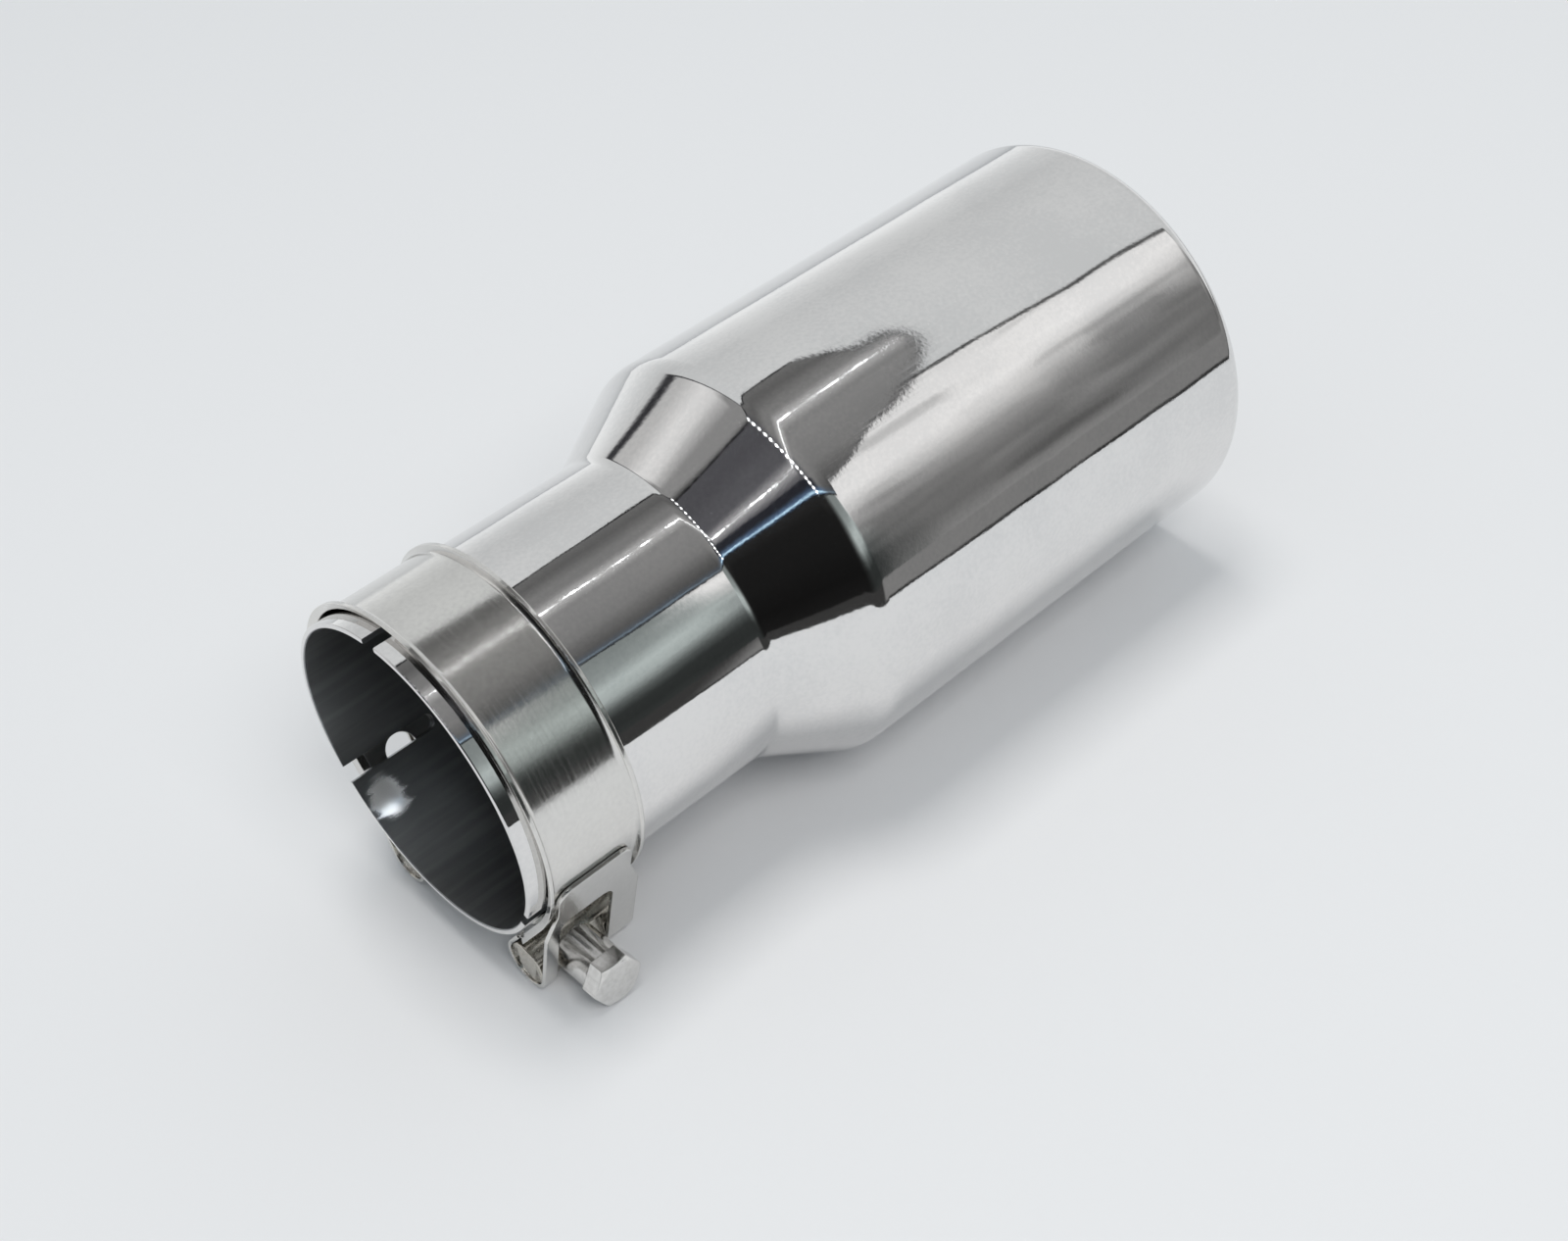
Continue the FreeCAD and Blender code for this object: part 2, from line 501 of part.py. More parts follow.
def windowBody(name, kind, reverse):
    """Solid that cuts one window; kind starts the names of its three sizes in the sheet."""
    half, top, radius = size(kind + "Width") / 2, pinDrop - size(kind + "Rise"), size(kind + "Corner")
    drop, reach = top + radius, half - radius
    dropX = f"<{kind}Rise> - {pinDropX} - <{kind}Corner>"
    reachX = f"(0.5 * <{kind}Width> - <{kind}Corner>)"
    near, far = boltMiddle - half, boltMiddle + half
    body = doc.addObject("PartDesign::Body", name)
    sketch = newSketch(body, name + "Sketch", "XZ_Plane")
    nearRound = arc(sketch, (boltMiddle - reach, -drop), radius, 90, 180)
    head = line(sketch, (boltMiddle - reach, -top), (boltMiddle + reach, -top))
    farRound = arc(sketch, (boltMiddle + reach, -drop), radius, 0, 90)
    nearLine = line(sketch, (near, -drop), (near, -windowLow))
    base = line(sketch, (near, -windowLow), (far, -windowLow))
    farLine = line(sketch, (far, -windowLow), (far, -drop))
    join(sketch, nearRound, startPoint, head, startPoint, "Tangent")
    join(sketch, head, endPoint, farRound, endPoint, "Tangent")
    join(sketch, nearRound, endPoint, nearLine, startPoint, "Tangent")
    join(sketch, farLine, endPoint, farRound, startPoint, "Tangent")
    join(sketch, nearLine, endPoint, base, startPoint)
    join(sketch, base, endPoint, farLine, startPoint)
    for label, corner, side, sideX in (("near", nearRound, -reach, "-"), ("far", farRound, reach, "+")):
        centreX = f"{boltMiddleX} {sideX} {reachX}"
        place(sketch, label, corner, centrePoint, (boltMiddle + side, centreX), (-drop, dropX))
        rule(sketch, label + "Radius", "Radius", radius, f"<{kind}Corner>", corner)
    for upright in (nearLine, farLine):
        sketch.addConstraint(Sketcher.Constraint("Vertical", upright))
    sketch.addConstraint(Sketcher.Constraint("Horizontal", base))
    place(sketch, "foot", base, startPoint, None, (-windowLow, windowLowX))
    pad = body.newObject("PartDesign::Pad", name + "Pad")
    pad.Profile = sketch
    pad.Reversed = reverse
    bind(pad, "Length", "2 * <barrelRadius>")
    doc.recompute()
    return body


headWindow = doc.addObject("Part::Cut", "HeadWindow")
headWindow.Base = bandBlank
headWindow.Tool = windowBody("SpacerWindow", "window", False)
band = doc.addObject("Part::Cut", "ClampBand")
band.Label = "clamp_band"
band.Base = headWindow
band.Tool = windowBody("TailWindow", "tailWindow", True)
band.Refine = True
doc.recompute()


# The trunnion pins lie along X in the two loops. The plain one has a flat for the spacer,
# the other is the nut.
def cylinderBody(name, role, offset, radius, length, centre, reverse=False):
    """Body with one padded circle; radius and length are expressions."""
    body = doc.addObject("PartDesign::Body", name)
    sketch = newSketch(body, name + "Circle", role, offset)
    (x, xRule), (y, yRule) = centre
    circle = sketch.addGeometry(Part.Circle(point(x, y), FreeCAD.Vector(0, 0, 1), radius[0]), False)
    place(sketch, "centre", circle, centrePoint, (x, xRule), (y, yRule))
    rule(sketch, "round", "Radius", radius[0], radius[1], circle)
    pad = body.newObject("PartDesign::Pad", name + "Pad")
    pad.Profile = sketch
    pad.Reversed = reverse
    bind(pad, "Length", length)
    doc.recompute()
    return body


def crossHole(body, name, radius):
    """Bores a hole through the body along Y, on the bolt's axis."""
    sketch = newSketch(body, name + "Circle", "XZ_Plane")
    circle = sketch.addGeometry(
        Part.Circle(point(boltMiddle, -pinDrop), FreeCAD.Vector(0, 0, 1), radius[0]), False
    )
    place(sketch, "centre", circle, centrePoint, (boltMiddle, boltMiddleX), (-pinDrop, f"-{pinDropX}"))
    rule(sketch, "round", "Radius", radius[0], radius[1], circle)
    cut = body.newObject("PartDesign::Pocket", name)
    cut.Profile = sketch
    cut.Type = "Length"
    bind(cut, "Length", "4 * <pinAcross>")
    cut.Midplane = True
    doc.recompute()


pinRadius = (size("pinRadius"), "<pinRadius>")
pinLength = "<bandWidth> - 2 * <pinSetback>"
pinOffset = "<bandStart> + <pinSetback>"
boltRadius, boltFit = size("boltRadius"), size("boltFit")
for label, name, side, hole in (
    ("trunnion_pin", "TrunnionPin", -1, (boltRadius + boltFit, "<boltRadius> + <boltFit>")),
    ("trunnion_nut", "TrunnionNut", 1, (boltRadius + size("threadFit"), "<boltRadius> + <threadFit>")),
):
    sideX = "-" if side < 0 else ""
    pin = cylinderBody(
        name, "YZ_Plane", pinOffset, pinRadius, pinLength,
        ((side * pinAcross, f"{sideX}<pinAcross>"), (-pinDrop, f"-{pinDropX}")),
    )
    pin.Label = label
    if side < 0:
        seatSketch = newSketch(pin, "SeatSketch", "XZ_Plane", "<pinAcross> + <pinFlat>")
        seatHalf = size("windowWidth") / 2
        seatNear = (boltMiddle - seatHalf, f"{boltMiddleX} - 0.5 * <windowWidth>")
        seatFar = (boltMiddle + seatHalf, f"{boltMiddleX} + 0.5 * <windowWidth>")
        seatLow = (-pinDrop - pinRadius[0], f"-{pinDropX} - <pinRadius>")
        seatHigh = (pinRadius[0] - pinDrop, f"<pinRadius> - {pinDropX}")
        outline(
            seatSketch,
            [(seatNear, seatLow), (seatFar, seatLow), (seatFar, seatHigh), (seatNear, seatHigh)],
        )
        seat = pin.newObject("PartDesign::Pocket", "Seat")
        seat.Profile = seatSketch
        seat.Type = "Length"
        seat.Reversed = True
        bind(seat, "Length", "<pinRadius>")
        doc.recompute()
    crossHole(pin, name + "Hole", hole)

# The spacer sleeve sits on the flat, and the bolt head bears on the spacer.
spacerFoot = pinAcross + size("pinFlat")
headFoot = spacerFoot + size("spacerLength")
boltCentre = ((boltMiddle, boltMiddleX), (-pinDrop, f"-{pinDropX}"))
spacer = cylinderBody(
    "Spacer", "XZ_Plane", "<pinAcross> + <pinFlat>",
    (size("spacerRadius"), "<spacerRadius>"), "<spacerLength>", boltCentre,
)
spacer.Label = "spacer_sleeve"
crossHole(spacer, "SpacerHole", (boltRadius + boltFit, "<boltRadius> + <boltFit>"))

bolt = cylinderBody(
    "ClampBolt", "XZ_Plane", "<pinAcross> + <pinFlat> + <spacerLength>",
    (boltRadius, "<boltRadius>"),
    "2 * <pinAcross> + <pinFlat> + <spacerLength> + <pinRadius> + <boltTail>", boltCentre, True,
)
bolt.Label = "clamp_bolt"
headSketch = newSketch(bolt, "HeadSketch", "XZ_Plane", "<pinAcross> + <pinFlat> + <spacerLength>")
headRadius = size("headAcross") / math.sqrt(3)
sides = 6
hexTurns = [math.tau * k / sides for k in range(sides)]
hexPoints = [(boltMiddle + headRadius * math.cos(t), headRadius * math.sin(t) - pinDrop) for t in hexTurns]
hexEdges = [line(headSketch, hexPoints[k], hexPoints[(k + 1) % sides]) for k in range(sides)]
hexCircle = headSketch.addGeometry(
    Part.Circle(point(boltMiddle, -pinDrop), FreeCAD.Vector(0, 0, 1), headRadius), True
)
place(headSketch, "centre", hexCircle, centrePoint, *boltCentre)
rule(headSketch, "corner", "Radius", headRadius, "<headAcross> / sqrt(3)", hexCircle)
for k in range(sides):
    join(headSketch, hexEdges[k], endPoint, hexEdges[(k + 1) % sides], startPoint)
    headSketch.addConstraint(Sketcher.Constraint("PointOnObject", hexEdges[k], startPoint, hexCircle))
for k in range(sides - 1):
    headSketch.addConstraint(Sketcher.Constraint("Equal", hexEdges[k], hexEdges[k + 1]))
place(headSketch, "level", hexEdges[0], startPoint, None, (-pinDrop, f"-{pinDropX}"))
head = bolt.newObject("PartDesign::Pad", "Head")
head.Profile = headSketch
bind(head, "Length", "<headHeight>")
doc.recompute()


tailY = pinAcross + size("pinRadius") + size("boltTail")
tailBevel = bolt.newObject("PartDesign::Chamfer", "TailBevel")
tailBevel.Base = (head, edgesWhere(head, lambda e: abs(e.BoundBox.YMin - tailY) < tiny))
bind(tailBevel, "Size", "<tailBevel>")
doc.recompute()

# the outer corners of the head are turned off at a shallow angle, about the bolt's axis,
# from a share of its width across flats to one beyond its corners
headFace = headFoot + size("headHeight")
headFaceX = "-(<pinAcross> + <pinFlat> + <spacerLength> + <headHeight>)"
faceShare, clearShare = 0.47, 0.62
bevelFrom = (faceShare * size("headAcross") - pinDrop, f"{faceShare} * <headAcross> - {pinDropX}")
bevelTo = (clearShare * size("headAcross") - pinDrop, f"{clearShare} * <headAcross> - {pinDropX}")
bevelSketch = newSketch(bolt, "BevelSketch", "YZ_Plane", boltMiddleX)
outline(
    bevelSketch,
    [
        ((-headFace, headFaceX), bevelFrom),
        ((-headFace, headFaceX), bevelTo),
        ((size("headBevel") - headFace, f"{headFaceX} + <headBevel>"), bevelTo),
    ],
)
boltLine = bevelSketch.addGeometry(Part.LineSegment(point(-headFace, -pinDrop), point(0, -pinDrop)), True)
bevelSketch.addConstraint(Sketcher.Constraint("Horizontal", boltLine))
place(bevelSketch, "lineFrom", boltLine, startPoint, (-headFace, headFaceX), (-pinDrop, f"-{pinDropX}"))
place(bevelSketch, "lineTo", boltLine, endPoint, onAxis)
headBevel = bolt.newObject("PartDesign::Groove", "HeadBevel")
headBevel.Profile = bevelSketch
headBevel.ReferenceAxis = (bevelSketch, ["Axis0"])
headBevel.Angle = fullTurn
doc.recompute()

# The bridge plate lies on the inlet tube under the gap between the two loops.
bridge = doc.addObject("PartDesign::Body", "BridgePlate")
bridge.Label = "bridge_plate"
bridgeInner = inletRadius
bridgeOuter = bridgeInner + size("bridgeStrip")
span = size("bridgeSpan")
bridgeSketch = newSketch(bridge, "BridgeSketch", "YZ_Plane", f"{bandMiddleX} - 0.5 * <bridgeWidth>")
low, high = -90 - span, -90 + span
bridgeLow = arc(bridgeSketch, (0, 0), bridgeInner, low, high)
bridgeTop = arc(bridgeSketch, (0, 0), bridgeOuter, low, high)


def onCircle(radius, angle):
    return (radius * math.cos(math.radians(angle)), radius * math.sin(math.radians(angle)))


bridgeNear = line(bridgeSketch, onCircle(bridgeInner, low), onCircle(bridgeOuter, low))
bridgeFar = line(bridgeSketch, onCircle(bridgeInner, high), onCircle(bridgeOuter, high))
join(bridgeSketch, bridgeLow, startPoint, bridgeNear, startPoint)
join(bridgeSketch, bridgeNear, endPoint, bridgeTop, startPoint)
join(bridgeSketch, bridgeLow, endPoint, bridgeFar, startPoint)
join(bridgeSketch, bridgeFar, endPoint, bridgeTop, endPoint)
for geometry in (bridgeLow, bridgeTop):
    bridgeSketch.addConstraint(Sketcher.Constraint("Coincident", geometry, centrePoint, -1, startPoint))
rule(bridgeSketch, "inside", "Radius", bridgeInner, "<inletRadius>", bridgeLow)
rule(bridgeSketch, "outside", "Radius", bridgeOuter, "<inletRadius> + <bridgeStrip>", bridgeTop)
sideX = "sin(<bridgeSpan> * 1 deg)"
for name, edge, end, radius, radiusX, angle, sign in (
    ("lowNear", bridgeLow, startPoint, bridgeInner, "<inletRadius>", low, "-"),
    ("lowFar", bridgeLow, endPoint, bridgeInner, "<inletRadius>", high, ""),
    ("topNear", bridgeTop, startPoint, bridgeOuter, "(<inletRadius> + <bridgeStrip>)", low, "-"),
    ("topFar", bridgeTop, endPoint, bridgeOuter, "(<inletRadius> + <bridgeStrip>)", high, ""),
):
    place(bridgeSketch, name, edge, end, (onCircle(radius, angle)[0], f"{sign}{radiusX} * {sideX}"))
bridgePad = bridge.newObject("PartDesign::Pad", "BridgePad")
bridgePad.Profile = bridgeSketch
bind(bridgePad, "Length", "<bridgeWidth>")
doc.recompute()

# every object has to be sound before anything is written
faulty = [thing.Name for thing in doc.Objects if {"Invalid", "Error"} & set(thing.State)]
if faulty:
    raise SystemExit(f"failed objects: {faulty}")

subparts = [shell, band, spacer, bolt, bridge]
subparts += [body for body in doc.Objects if body.Label in ("trunnion_pin", "trunnion_nut")]
os.makedirs("parts", exist_ok=True)
for part in subparts:
    shape = part.Shape
    if shape.isNull() or not shape.isValid():
        raise SystemExit(f"{part.Label} has no sound shape")
    shape.exportStep(f"parts/{part.Label}.step")
    print(part.Label, "solids", len(shape.Solids), "volume", round(shape.Volume, 1), "box", shape.BoundBox)
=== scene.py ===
import bmesh
import bpy
import math
from mathutils import Matrix, Vector


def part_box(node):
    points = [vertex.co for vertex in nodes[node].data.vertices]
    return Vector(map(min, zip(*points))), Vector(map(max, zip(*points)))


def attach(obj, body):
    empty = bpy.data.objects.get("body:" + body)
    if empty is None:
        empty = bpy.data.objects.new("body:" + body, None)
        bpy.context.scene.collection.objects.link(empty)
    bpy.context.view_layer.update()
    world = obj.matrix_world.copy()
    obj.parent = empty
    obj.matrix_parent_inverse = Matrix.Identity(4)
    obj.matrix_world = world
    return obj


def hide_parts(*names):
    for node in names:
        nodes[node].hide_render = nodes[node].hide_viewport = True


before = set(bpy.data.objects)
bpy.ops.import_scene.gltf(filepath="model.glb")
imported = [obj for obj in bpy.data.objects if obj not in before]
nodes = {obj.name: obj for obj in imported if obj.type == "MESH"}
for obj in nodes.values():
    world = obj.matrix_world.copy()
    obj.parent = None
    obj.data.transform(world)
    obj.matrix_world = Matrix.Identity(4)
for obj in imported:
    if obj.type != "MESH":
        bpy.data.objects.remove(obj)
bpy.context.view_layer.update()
print("frame loaded, nodes:", ", ".join(sorted(nodes)))

mm = 0.001
tubeAxis = Vector((1, 0, 0))
samePoint = 1e-7  # points of a new shape that are nearer than this are one point
samePacked = 1e-6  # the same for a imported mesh, and for picking out a ring

# sizes that come from the frame
shellLow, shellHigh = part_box("tip_shell")
pinLow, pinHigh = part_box("trunnion_pin")
boltLow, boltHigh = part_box("clamp_bolt")
barrelRadius = shellHigh.y
tipLength = shellHigh.x
boltMiddle = (boltLow.x + boltHigh.x) / 2
boltHeight = (pinLow.z + pinHigh.z) / 2


# puts a finished mesh into the scene as a piece of the tip
def makeObject(mesh, name, materials, replaced):
    piece = bpy.data.objects.new(name, mesh)
    bpy.context.scene.collection.objects.link(piece)
    for finish in materials:
        piece.data.materials.append(finish)
    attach(piece, "root")
    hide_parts(replaced)
    return piece


# closes the seams, turns the normals outward and shades the mesh smooth up to a sharp angle
def finishMesh(shape, name, sharpAngle):
    bmesh.ops.remove_doubles(shape, verts=shape.verts, dist=samePoint)
    bmesh.ops.recalc_face_normals(shape, faces=shape.faces)
    mesh = bpy.data.meshes.new(name)
    shape.to_mesh(mesh)
    shape.free()
    shadeSmooth(mesh, sharpAngle)
    return mesh


def shadeSmooth(mesh, sharpAngle):
    for face in mesh.polygons:
        face.use_smooth = True
    mesh.set_sharp_from_angle(angle=math.radians(sharpAngle))


# helpers for shader trees
def addNode(tree, kind, **values):
    node = tree.nodes.new(kind)
    for key, value in values.items():
        setattr(node, key, value)
    return node


def setInputs(node, **values):
    for key, value in values.items():
        node.inputs[key.replace("_", " ")].default_value = value
    return node


def mathNode(tree, operation, *values):
    node = addNode(tree, "ShaderNodeMath", operation=operation)
    for socket, value in zip(node.inputs, values):
        if isinstance(value, (int, float)):
            socket.default_value = value
        else:
            tree.links.new(value, socket)
    return node.outputs[0]


def product(tree, first, *others):
    for value in others:
        first = mathNode(tree, "MULTIPLY", first, value)
    return first


# a smooth step from 0 at low to 1 at high
def between(tree, value, low, high):
    node = addNode(tree, "ShaderNodeMapRange", interpolation_type="SMOOTHSTEP")
    setInputs(node, From_Min=low, From_Max=high)
    tree.links.new(value, node.inputs["Value"])
    return node.outputs["Result"]


# 1 near a value and 0 beyond the reach on both sides of it
def near(tree, value, middle, core, reach):
    distance = mathNode(tree, "ABSOLUTE", mathNode(tree, "SUBTRACT", value, middle))
    return between(tree, distance, reach, core)


def blendOf(tree, first, second, share):
    node = addNode(tree, "ShaderNodeMix", data_type="RGBA")
    for socket, value in (("A", first), ("B", second), ("Factor", share)):
        if isinstance(value, tuple):
            node.inputs[socket].default_value = value
        else:
            tree.links.new(value, node.inputs[socket])
    return node.outputs["Result"]


def newGroup(name, inputs, outputs):
    group = bpy.data.node_groups.new(name, "ShaderNodeTree")
    for label, kind, value in inputs:
        group.interface.new_socket(label, in_out="INPUT", socket_type=kind).default_value = value
    for label, kind in outputs:
        group.interface.new_socket(label, in_out="OUTPUT", socket_type=kind)
    entry = group.nodes.new("NodeGroupInput")
    leave = group.nodes.new("NodeGroupOutput")
    return group, entry, leave


# a new material, its shader tree and its Principled shader
def newMaterial(name):
    material = bpy.data.materials.new(name)
    material.use_nodes = True
    tree = material.node_tree
    return material, tree, tree.nodes["Principled BSDF"]


print("building finishes")

# polishing marks: drawn lines, cloudy patches, fine mottling and a slow waviness of the sheet
markPatterns = {
    "Lines": {"Detail": 3.0, "Roughness": 0.6},
    "Clouds": {"Scale": 34.0, "Detail": 4.0, "Roughness": 0.6},
    "Mottling": {"Scale": 1100.0, "Detail": 2.0, "Roughness": 0.5},
    "Waves": {"Scale": 34.0, "Detail": 1.0, "Roughness": 0.4},
}
polishGroup, polishIn, polishOut = newGroup(
    "polishingMarks",
    [("Stretch", "NodeSocketVector", (1, 1, 1)), ("Fineness", "NodeSocketFloat", 60.0)],
    [(name, "NodeSocketFloat") for name in markPatterns],
)
polishPlace = addNode(polishGroup, "ShaderNodeTexCoord").outputs["Object"]
polishMap = addNode(polishGroup, "ShaderNodeMapping")
polishGroup.links.new(polishPlace, polishMap.inputs["Vector"])
polishGroup.links.new(polishIn.outputs["Stretch"], polishMap.inputs["Scale"])
for name, pattern in markPatterns.items():
    texture = setInputs(addNode(polishGroup, "ShaderNodeTexNoise"), **pattern)
    if name == "Lines":  # only the lines are stretched
        polishGroup.links.new(polishMap.outputs["Vector"], texture.inputs["Vector"])
        polishGroup.links.new(polishIn.outputs["Fineness"], texture.inputs["Scale"])
    else:
        polishGroup.links.new(polishPlace, texture.inputs["Vector"])
    polishGroup.links.new(texture.outputs["Fac"], polishOut.inputs[name])

# worn edges with a painted edge highlight: a normal that rounds every sharp edge, and a mask of where it
# does so, by the cosine of the angle between the rounded and the flat normal; the mask paints the edges
# lighter
edgeWearAndHighlight = {"samples": 6, "none": 0.99, "full": 0.85}
edgeGroup, edgeIn, edgeOut = newGroup(
    "wornAndHighlitEdges", [("Radius", "NodeSocketFloat", 0.2 * mm)],
    [("Rounded", "NodeSocketVector"), ("WearAndHighlight", "NodeSocketFloat")],
)
edgeRound = addNode(edgeGroup, "ShaderNodeBevel", samples=edgeWearAndHighlight["samples"])
edgeFlat = addNode(edgeGroup, "ShaderNodeNewGeometry")
edgeMatch = addNode(edgeGroup, "ShaderNodeVectorMath", operation="DOT_PRODUCT")
edgeGroup.links.new(edgeIn.outputs["Radius"], edgeRound.inputs["Radius"])
edgeGroup.links.new(edgeRound.outputs["Normal"], edgeMatch.inputs[0])
edgeGroup.links.new(edgeFlat.outputs["Normal"], edgeMatch.inputs[1])
edgeGroup.links.new(edgeRound.outputs["Normal"], edgeOut.inputs["Rounded"])
edgeGroup.links.new(
    between(edgeGroup, edgeMatch.outputs["Value"], edgeWearAndHighlight["none"], edgeWearAndHighlight["full"]),
    edgeOut.inputs["WearAndHighlight"])

# lines, mottling and waves are strengths of the bump, edge is the radius of the worn edges and their painted
# highlight
finishes = {
    "polishedSteel": {
        "pale": (0.81, 0.80, 0.79), "dull": (0.74, 0.735, 0.73), "wearAndHighlight": (0.88, 0.88, 0.88),
        "roughness": (0.03, 0.07), "stretch": (1, 30, 30), "fineness": 60,
        "lines": 0.08, "mottling": 0.16, "waves": 1.0, "edge": 0.15 * mm,
    },
    "bandSteel": {
        "pale": (0.76, 0.75, 0.725), "dull": (0.70, 0.69, 0.67), "wearAndHighlight": (0.92, 0.90, 0.86),
        "roughness": (0.12, 0.19), "stretch": (36, 1, 1), "fineness": 50,
        "lines": 0.12, "mottling": 0.35, "waves": 1.0, "edge": 0.25 * mm,
    },
    "platedSteel": {
        "pale": (0.70, 0.67, 0.61), "dull": (0.56, 0.53, 0.47), "wearAndHighlight": (0.82, 0.79, 0.72),
        "roughness": (0.18, 0.32), "stretch": (8, 8, 8), "fineness": 120,
        "lines": 0.1, "mottling": 0.4, "waves": 0.2, "edge": 0.3 * mm,
    },
    "turnedSteel": {
        "pale": (0.82, 0.81, 0.79), "dull": (0.68, 0.67, 0.65), "wearAndHighlight": (0.90, 0.89, 0.87),
        "roughness": (0.14, 0.26), "stretch": (20, 1, 20), "fineness": 60,
        "lines": 0.06, "mottling": 0.3, "waves": 0.1, "edge": 0.3 * mm,
    },
}
# what the steels share: how mottling and clouds make dull patches, and the heights of the bump
steelDetail = {
    "mottlingShare": 0.6, "patchRange": (0.6, 1.0), "lineRange": (0.3, 0.7),
    "waveHeight": 0.3 * mm, "markHeight": 0.02 * mm,
}


# a bump that adds to the normal it is given
def bumpOn(tree, height, strength, distance, normal):
    bump = setInputs(addNode(tree, "ShaderNodeBump"), Strength=strength, Distance=distance)
    tree.links.new(height, bump.inputs["Height"])
    tree.links.new(normal, bump.inputs["Normal"])
    return bump.outputs["Normal"]


def steelMaterial(name, finish):
    material, tree, shader = newMaterial(name)
    link = tree.links.new
    setInputs(shader, Metallic=1.0)
    marks = addNode(tree, "ShaderNodeGroup", node_tree=polishGroup)
    setInputs(marks, Stretch=finish["stretch"], Fineness=finish["fineness"])
    edges = addNode(tree, "ShaderNodeGroup", node_tree=edgeGroup)
    setInputs(edges, Radius=finish["edge"])
    patches = mathNode(
        tree, "MULTIPLY_ADD", marks.outputs["Mottling"], steelDetail["mottlingShare"],
        marks.outputs["Clouds"])
    patches = between(tree, patches, *steelDetail["patchRange"])
    tint = blendOf(tree, (*finish["dull"], 1), (*finish["pale"], 1), patches)
    # edges are painted lighter, partly as wear and partly as a painted highlight
    tint = blendOf(tree, tint, (*finish["wearAndHighlight"], 1), edges.outputs["WearAndHighlight"])
    lineLow, lineHigh = steelDetail["lineRange"]
    low, high = finish["roughness"]
    spread = addNode(tree, "ShaderNodeMapRange")
    setInputs(spread, From_Min=lineLow, From_Max=lineHigh, To_Min=low, To_Max=high)
    link(marks.outputs["Lines"], spread.inputs["Value"])
    normal = edges.outputs["Rounded"]
    for mark, strength, height in (
            ("Waves", "waves", "waveHeight"), ("Lines", "lines", "markHeight"),
            ("Mottling", "mottling", "markHeight")):
        normal = bumpOn(tree, marks.outputs[mark], finish[strength], steelDetail[height], normal)
    link(tint, shader.inputs["Base Color"])
    link(spread.outputs["Result"], shader.inputs["Roughness"])
    link(normal, shader.inputs["Normal"])
    return material


polishedSteel, bandSteel, platedSteel, turnedSteel = (
    steelMaterial(name, finish) for name, finish in finishes.items())

# the inside of the tube is dull and dark, with drawn streaks
# and one painted glint, a bright and partly matte patch, where the mouth is pressed open
innerFinish = {
    "dark": (0.29, 0.30, 0.305), "streak": (0.37, 0.38, 0.385), "streakRange": (0.35, 0.75),
    "roughness": 0.36, "stretch": (1, 14, 14), "fineness": 26, "lines": 0.2, "lineHeight": 0.04 * mm,
    "bright": (0.92, 0.92, 0.92), "glintRoughness": 0.16, "glintMatte": 0.35,
    "glintCentre": (4.5 * mm, 22.5 * mm, -23 * mm), "glintInner": 3.2 * mm, "glintOuter": 5.0 * mm,
    "ragged": 8 * mm, "pressFrom": -2 * mm, "pressTo": 9 * mm, "press": 1.2 * mm,
}


def innerMaterial(name, finish):
    material, tree, shader = newMaterial(name)
    link = tree.links.new
    marks = addNode(tree, "ShaderNodeGroup", node_tree=polishGroup)
    setInputs(marks, Stretch=finish["stretch"], Fineness=finish["fineness"])
    place = addNode(tree, "ShaderNodeTexCoord").outputs["Object"]
    split = addNode(tree, "ShaderNodeSeparateXYZ")
    link(place, split.inputs["Vector"])
    fromGlint = addNode(tree, "ShaderNodeVectorMath", operation="DISTANCE")
    fromGlint.inputs[1].default_value = finish["glintCentre"]
    link(place, fromGlint.inputs[0])
    # the drawn lines make the painted glint's edge ragged
    ragged = mathNode(
        tree, "MULTIPLY_ADD", marks.outputs["Lines"], finish["ragged"],
        mathNode(tree, "SUBTRACT", fromGlint.outputs["Value"], finish["ragged"] / 2))
    onGlint = between(tree, ragged, finish["glintOuter"], finish["glintInner"])
    streaks = between(tree, marks.outputs["Lines"], *finish["streakRange"])
    tint = blendOf(tree, (*finish["dark"], 1), (*finish["streak"], 1), streaks)
    # the painted glint: the patch gets the bright colour
    tint = blendOf(tree, tint, (*finish["bright"], 1), onGlint)
    rough = mathNode(
        tree, "MULTIPLY_ADD", onGlint, finish["glintRoughness"] - finish["roughness"], finish["roughness"])
    link(tint, shader.inputs["Base Color"])
    link(rough, shader.inputs["Roughness"])
    # the painted glint is partly matte, so the plain light makes it brighter still
    link(mathNode(tree, "MULTIPLY_ADD", onGlint, -finish["glintMatte"], 1), shader.inputs["Metallic"])
    drawn = setInputs(
        addNode(tree, "ShaderNodeBump"), Strength=finish["lines"], Distance=finish["lineHeight"])
    link(marks.outputs["Lines"], drawn.inputs["Height"])
    pressed = setInputs(addNode(tree, "ShaderNodeBump"), Distance=finish["press"])
    link(onGlint, pressed.inputs["Strength"])
    link(between(tree, split.outputs["X"], finish["pressFrom"], finish["pressTo"]), pressed.inputs["Height"])
    link(drawn.outputs["Normal"], pressed.inputs["Normal"])
    link(pressed.outputs["Normal"], shader.inputs["Normal"])
    return material


innerSteel = innerMaterial("innerSteel", innerFinish)

print("modelling the shell")

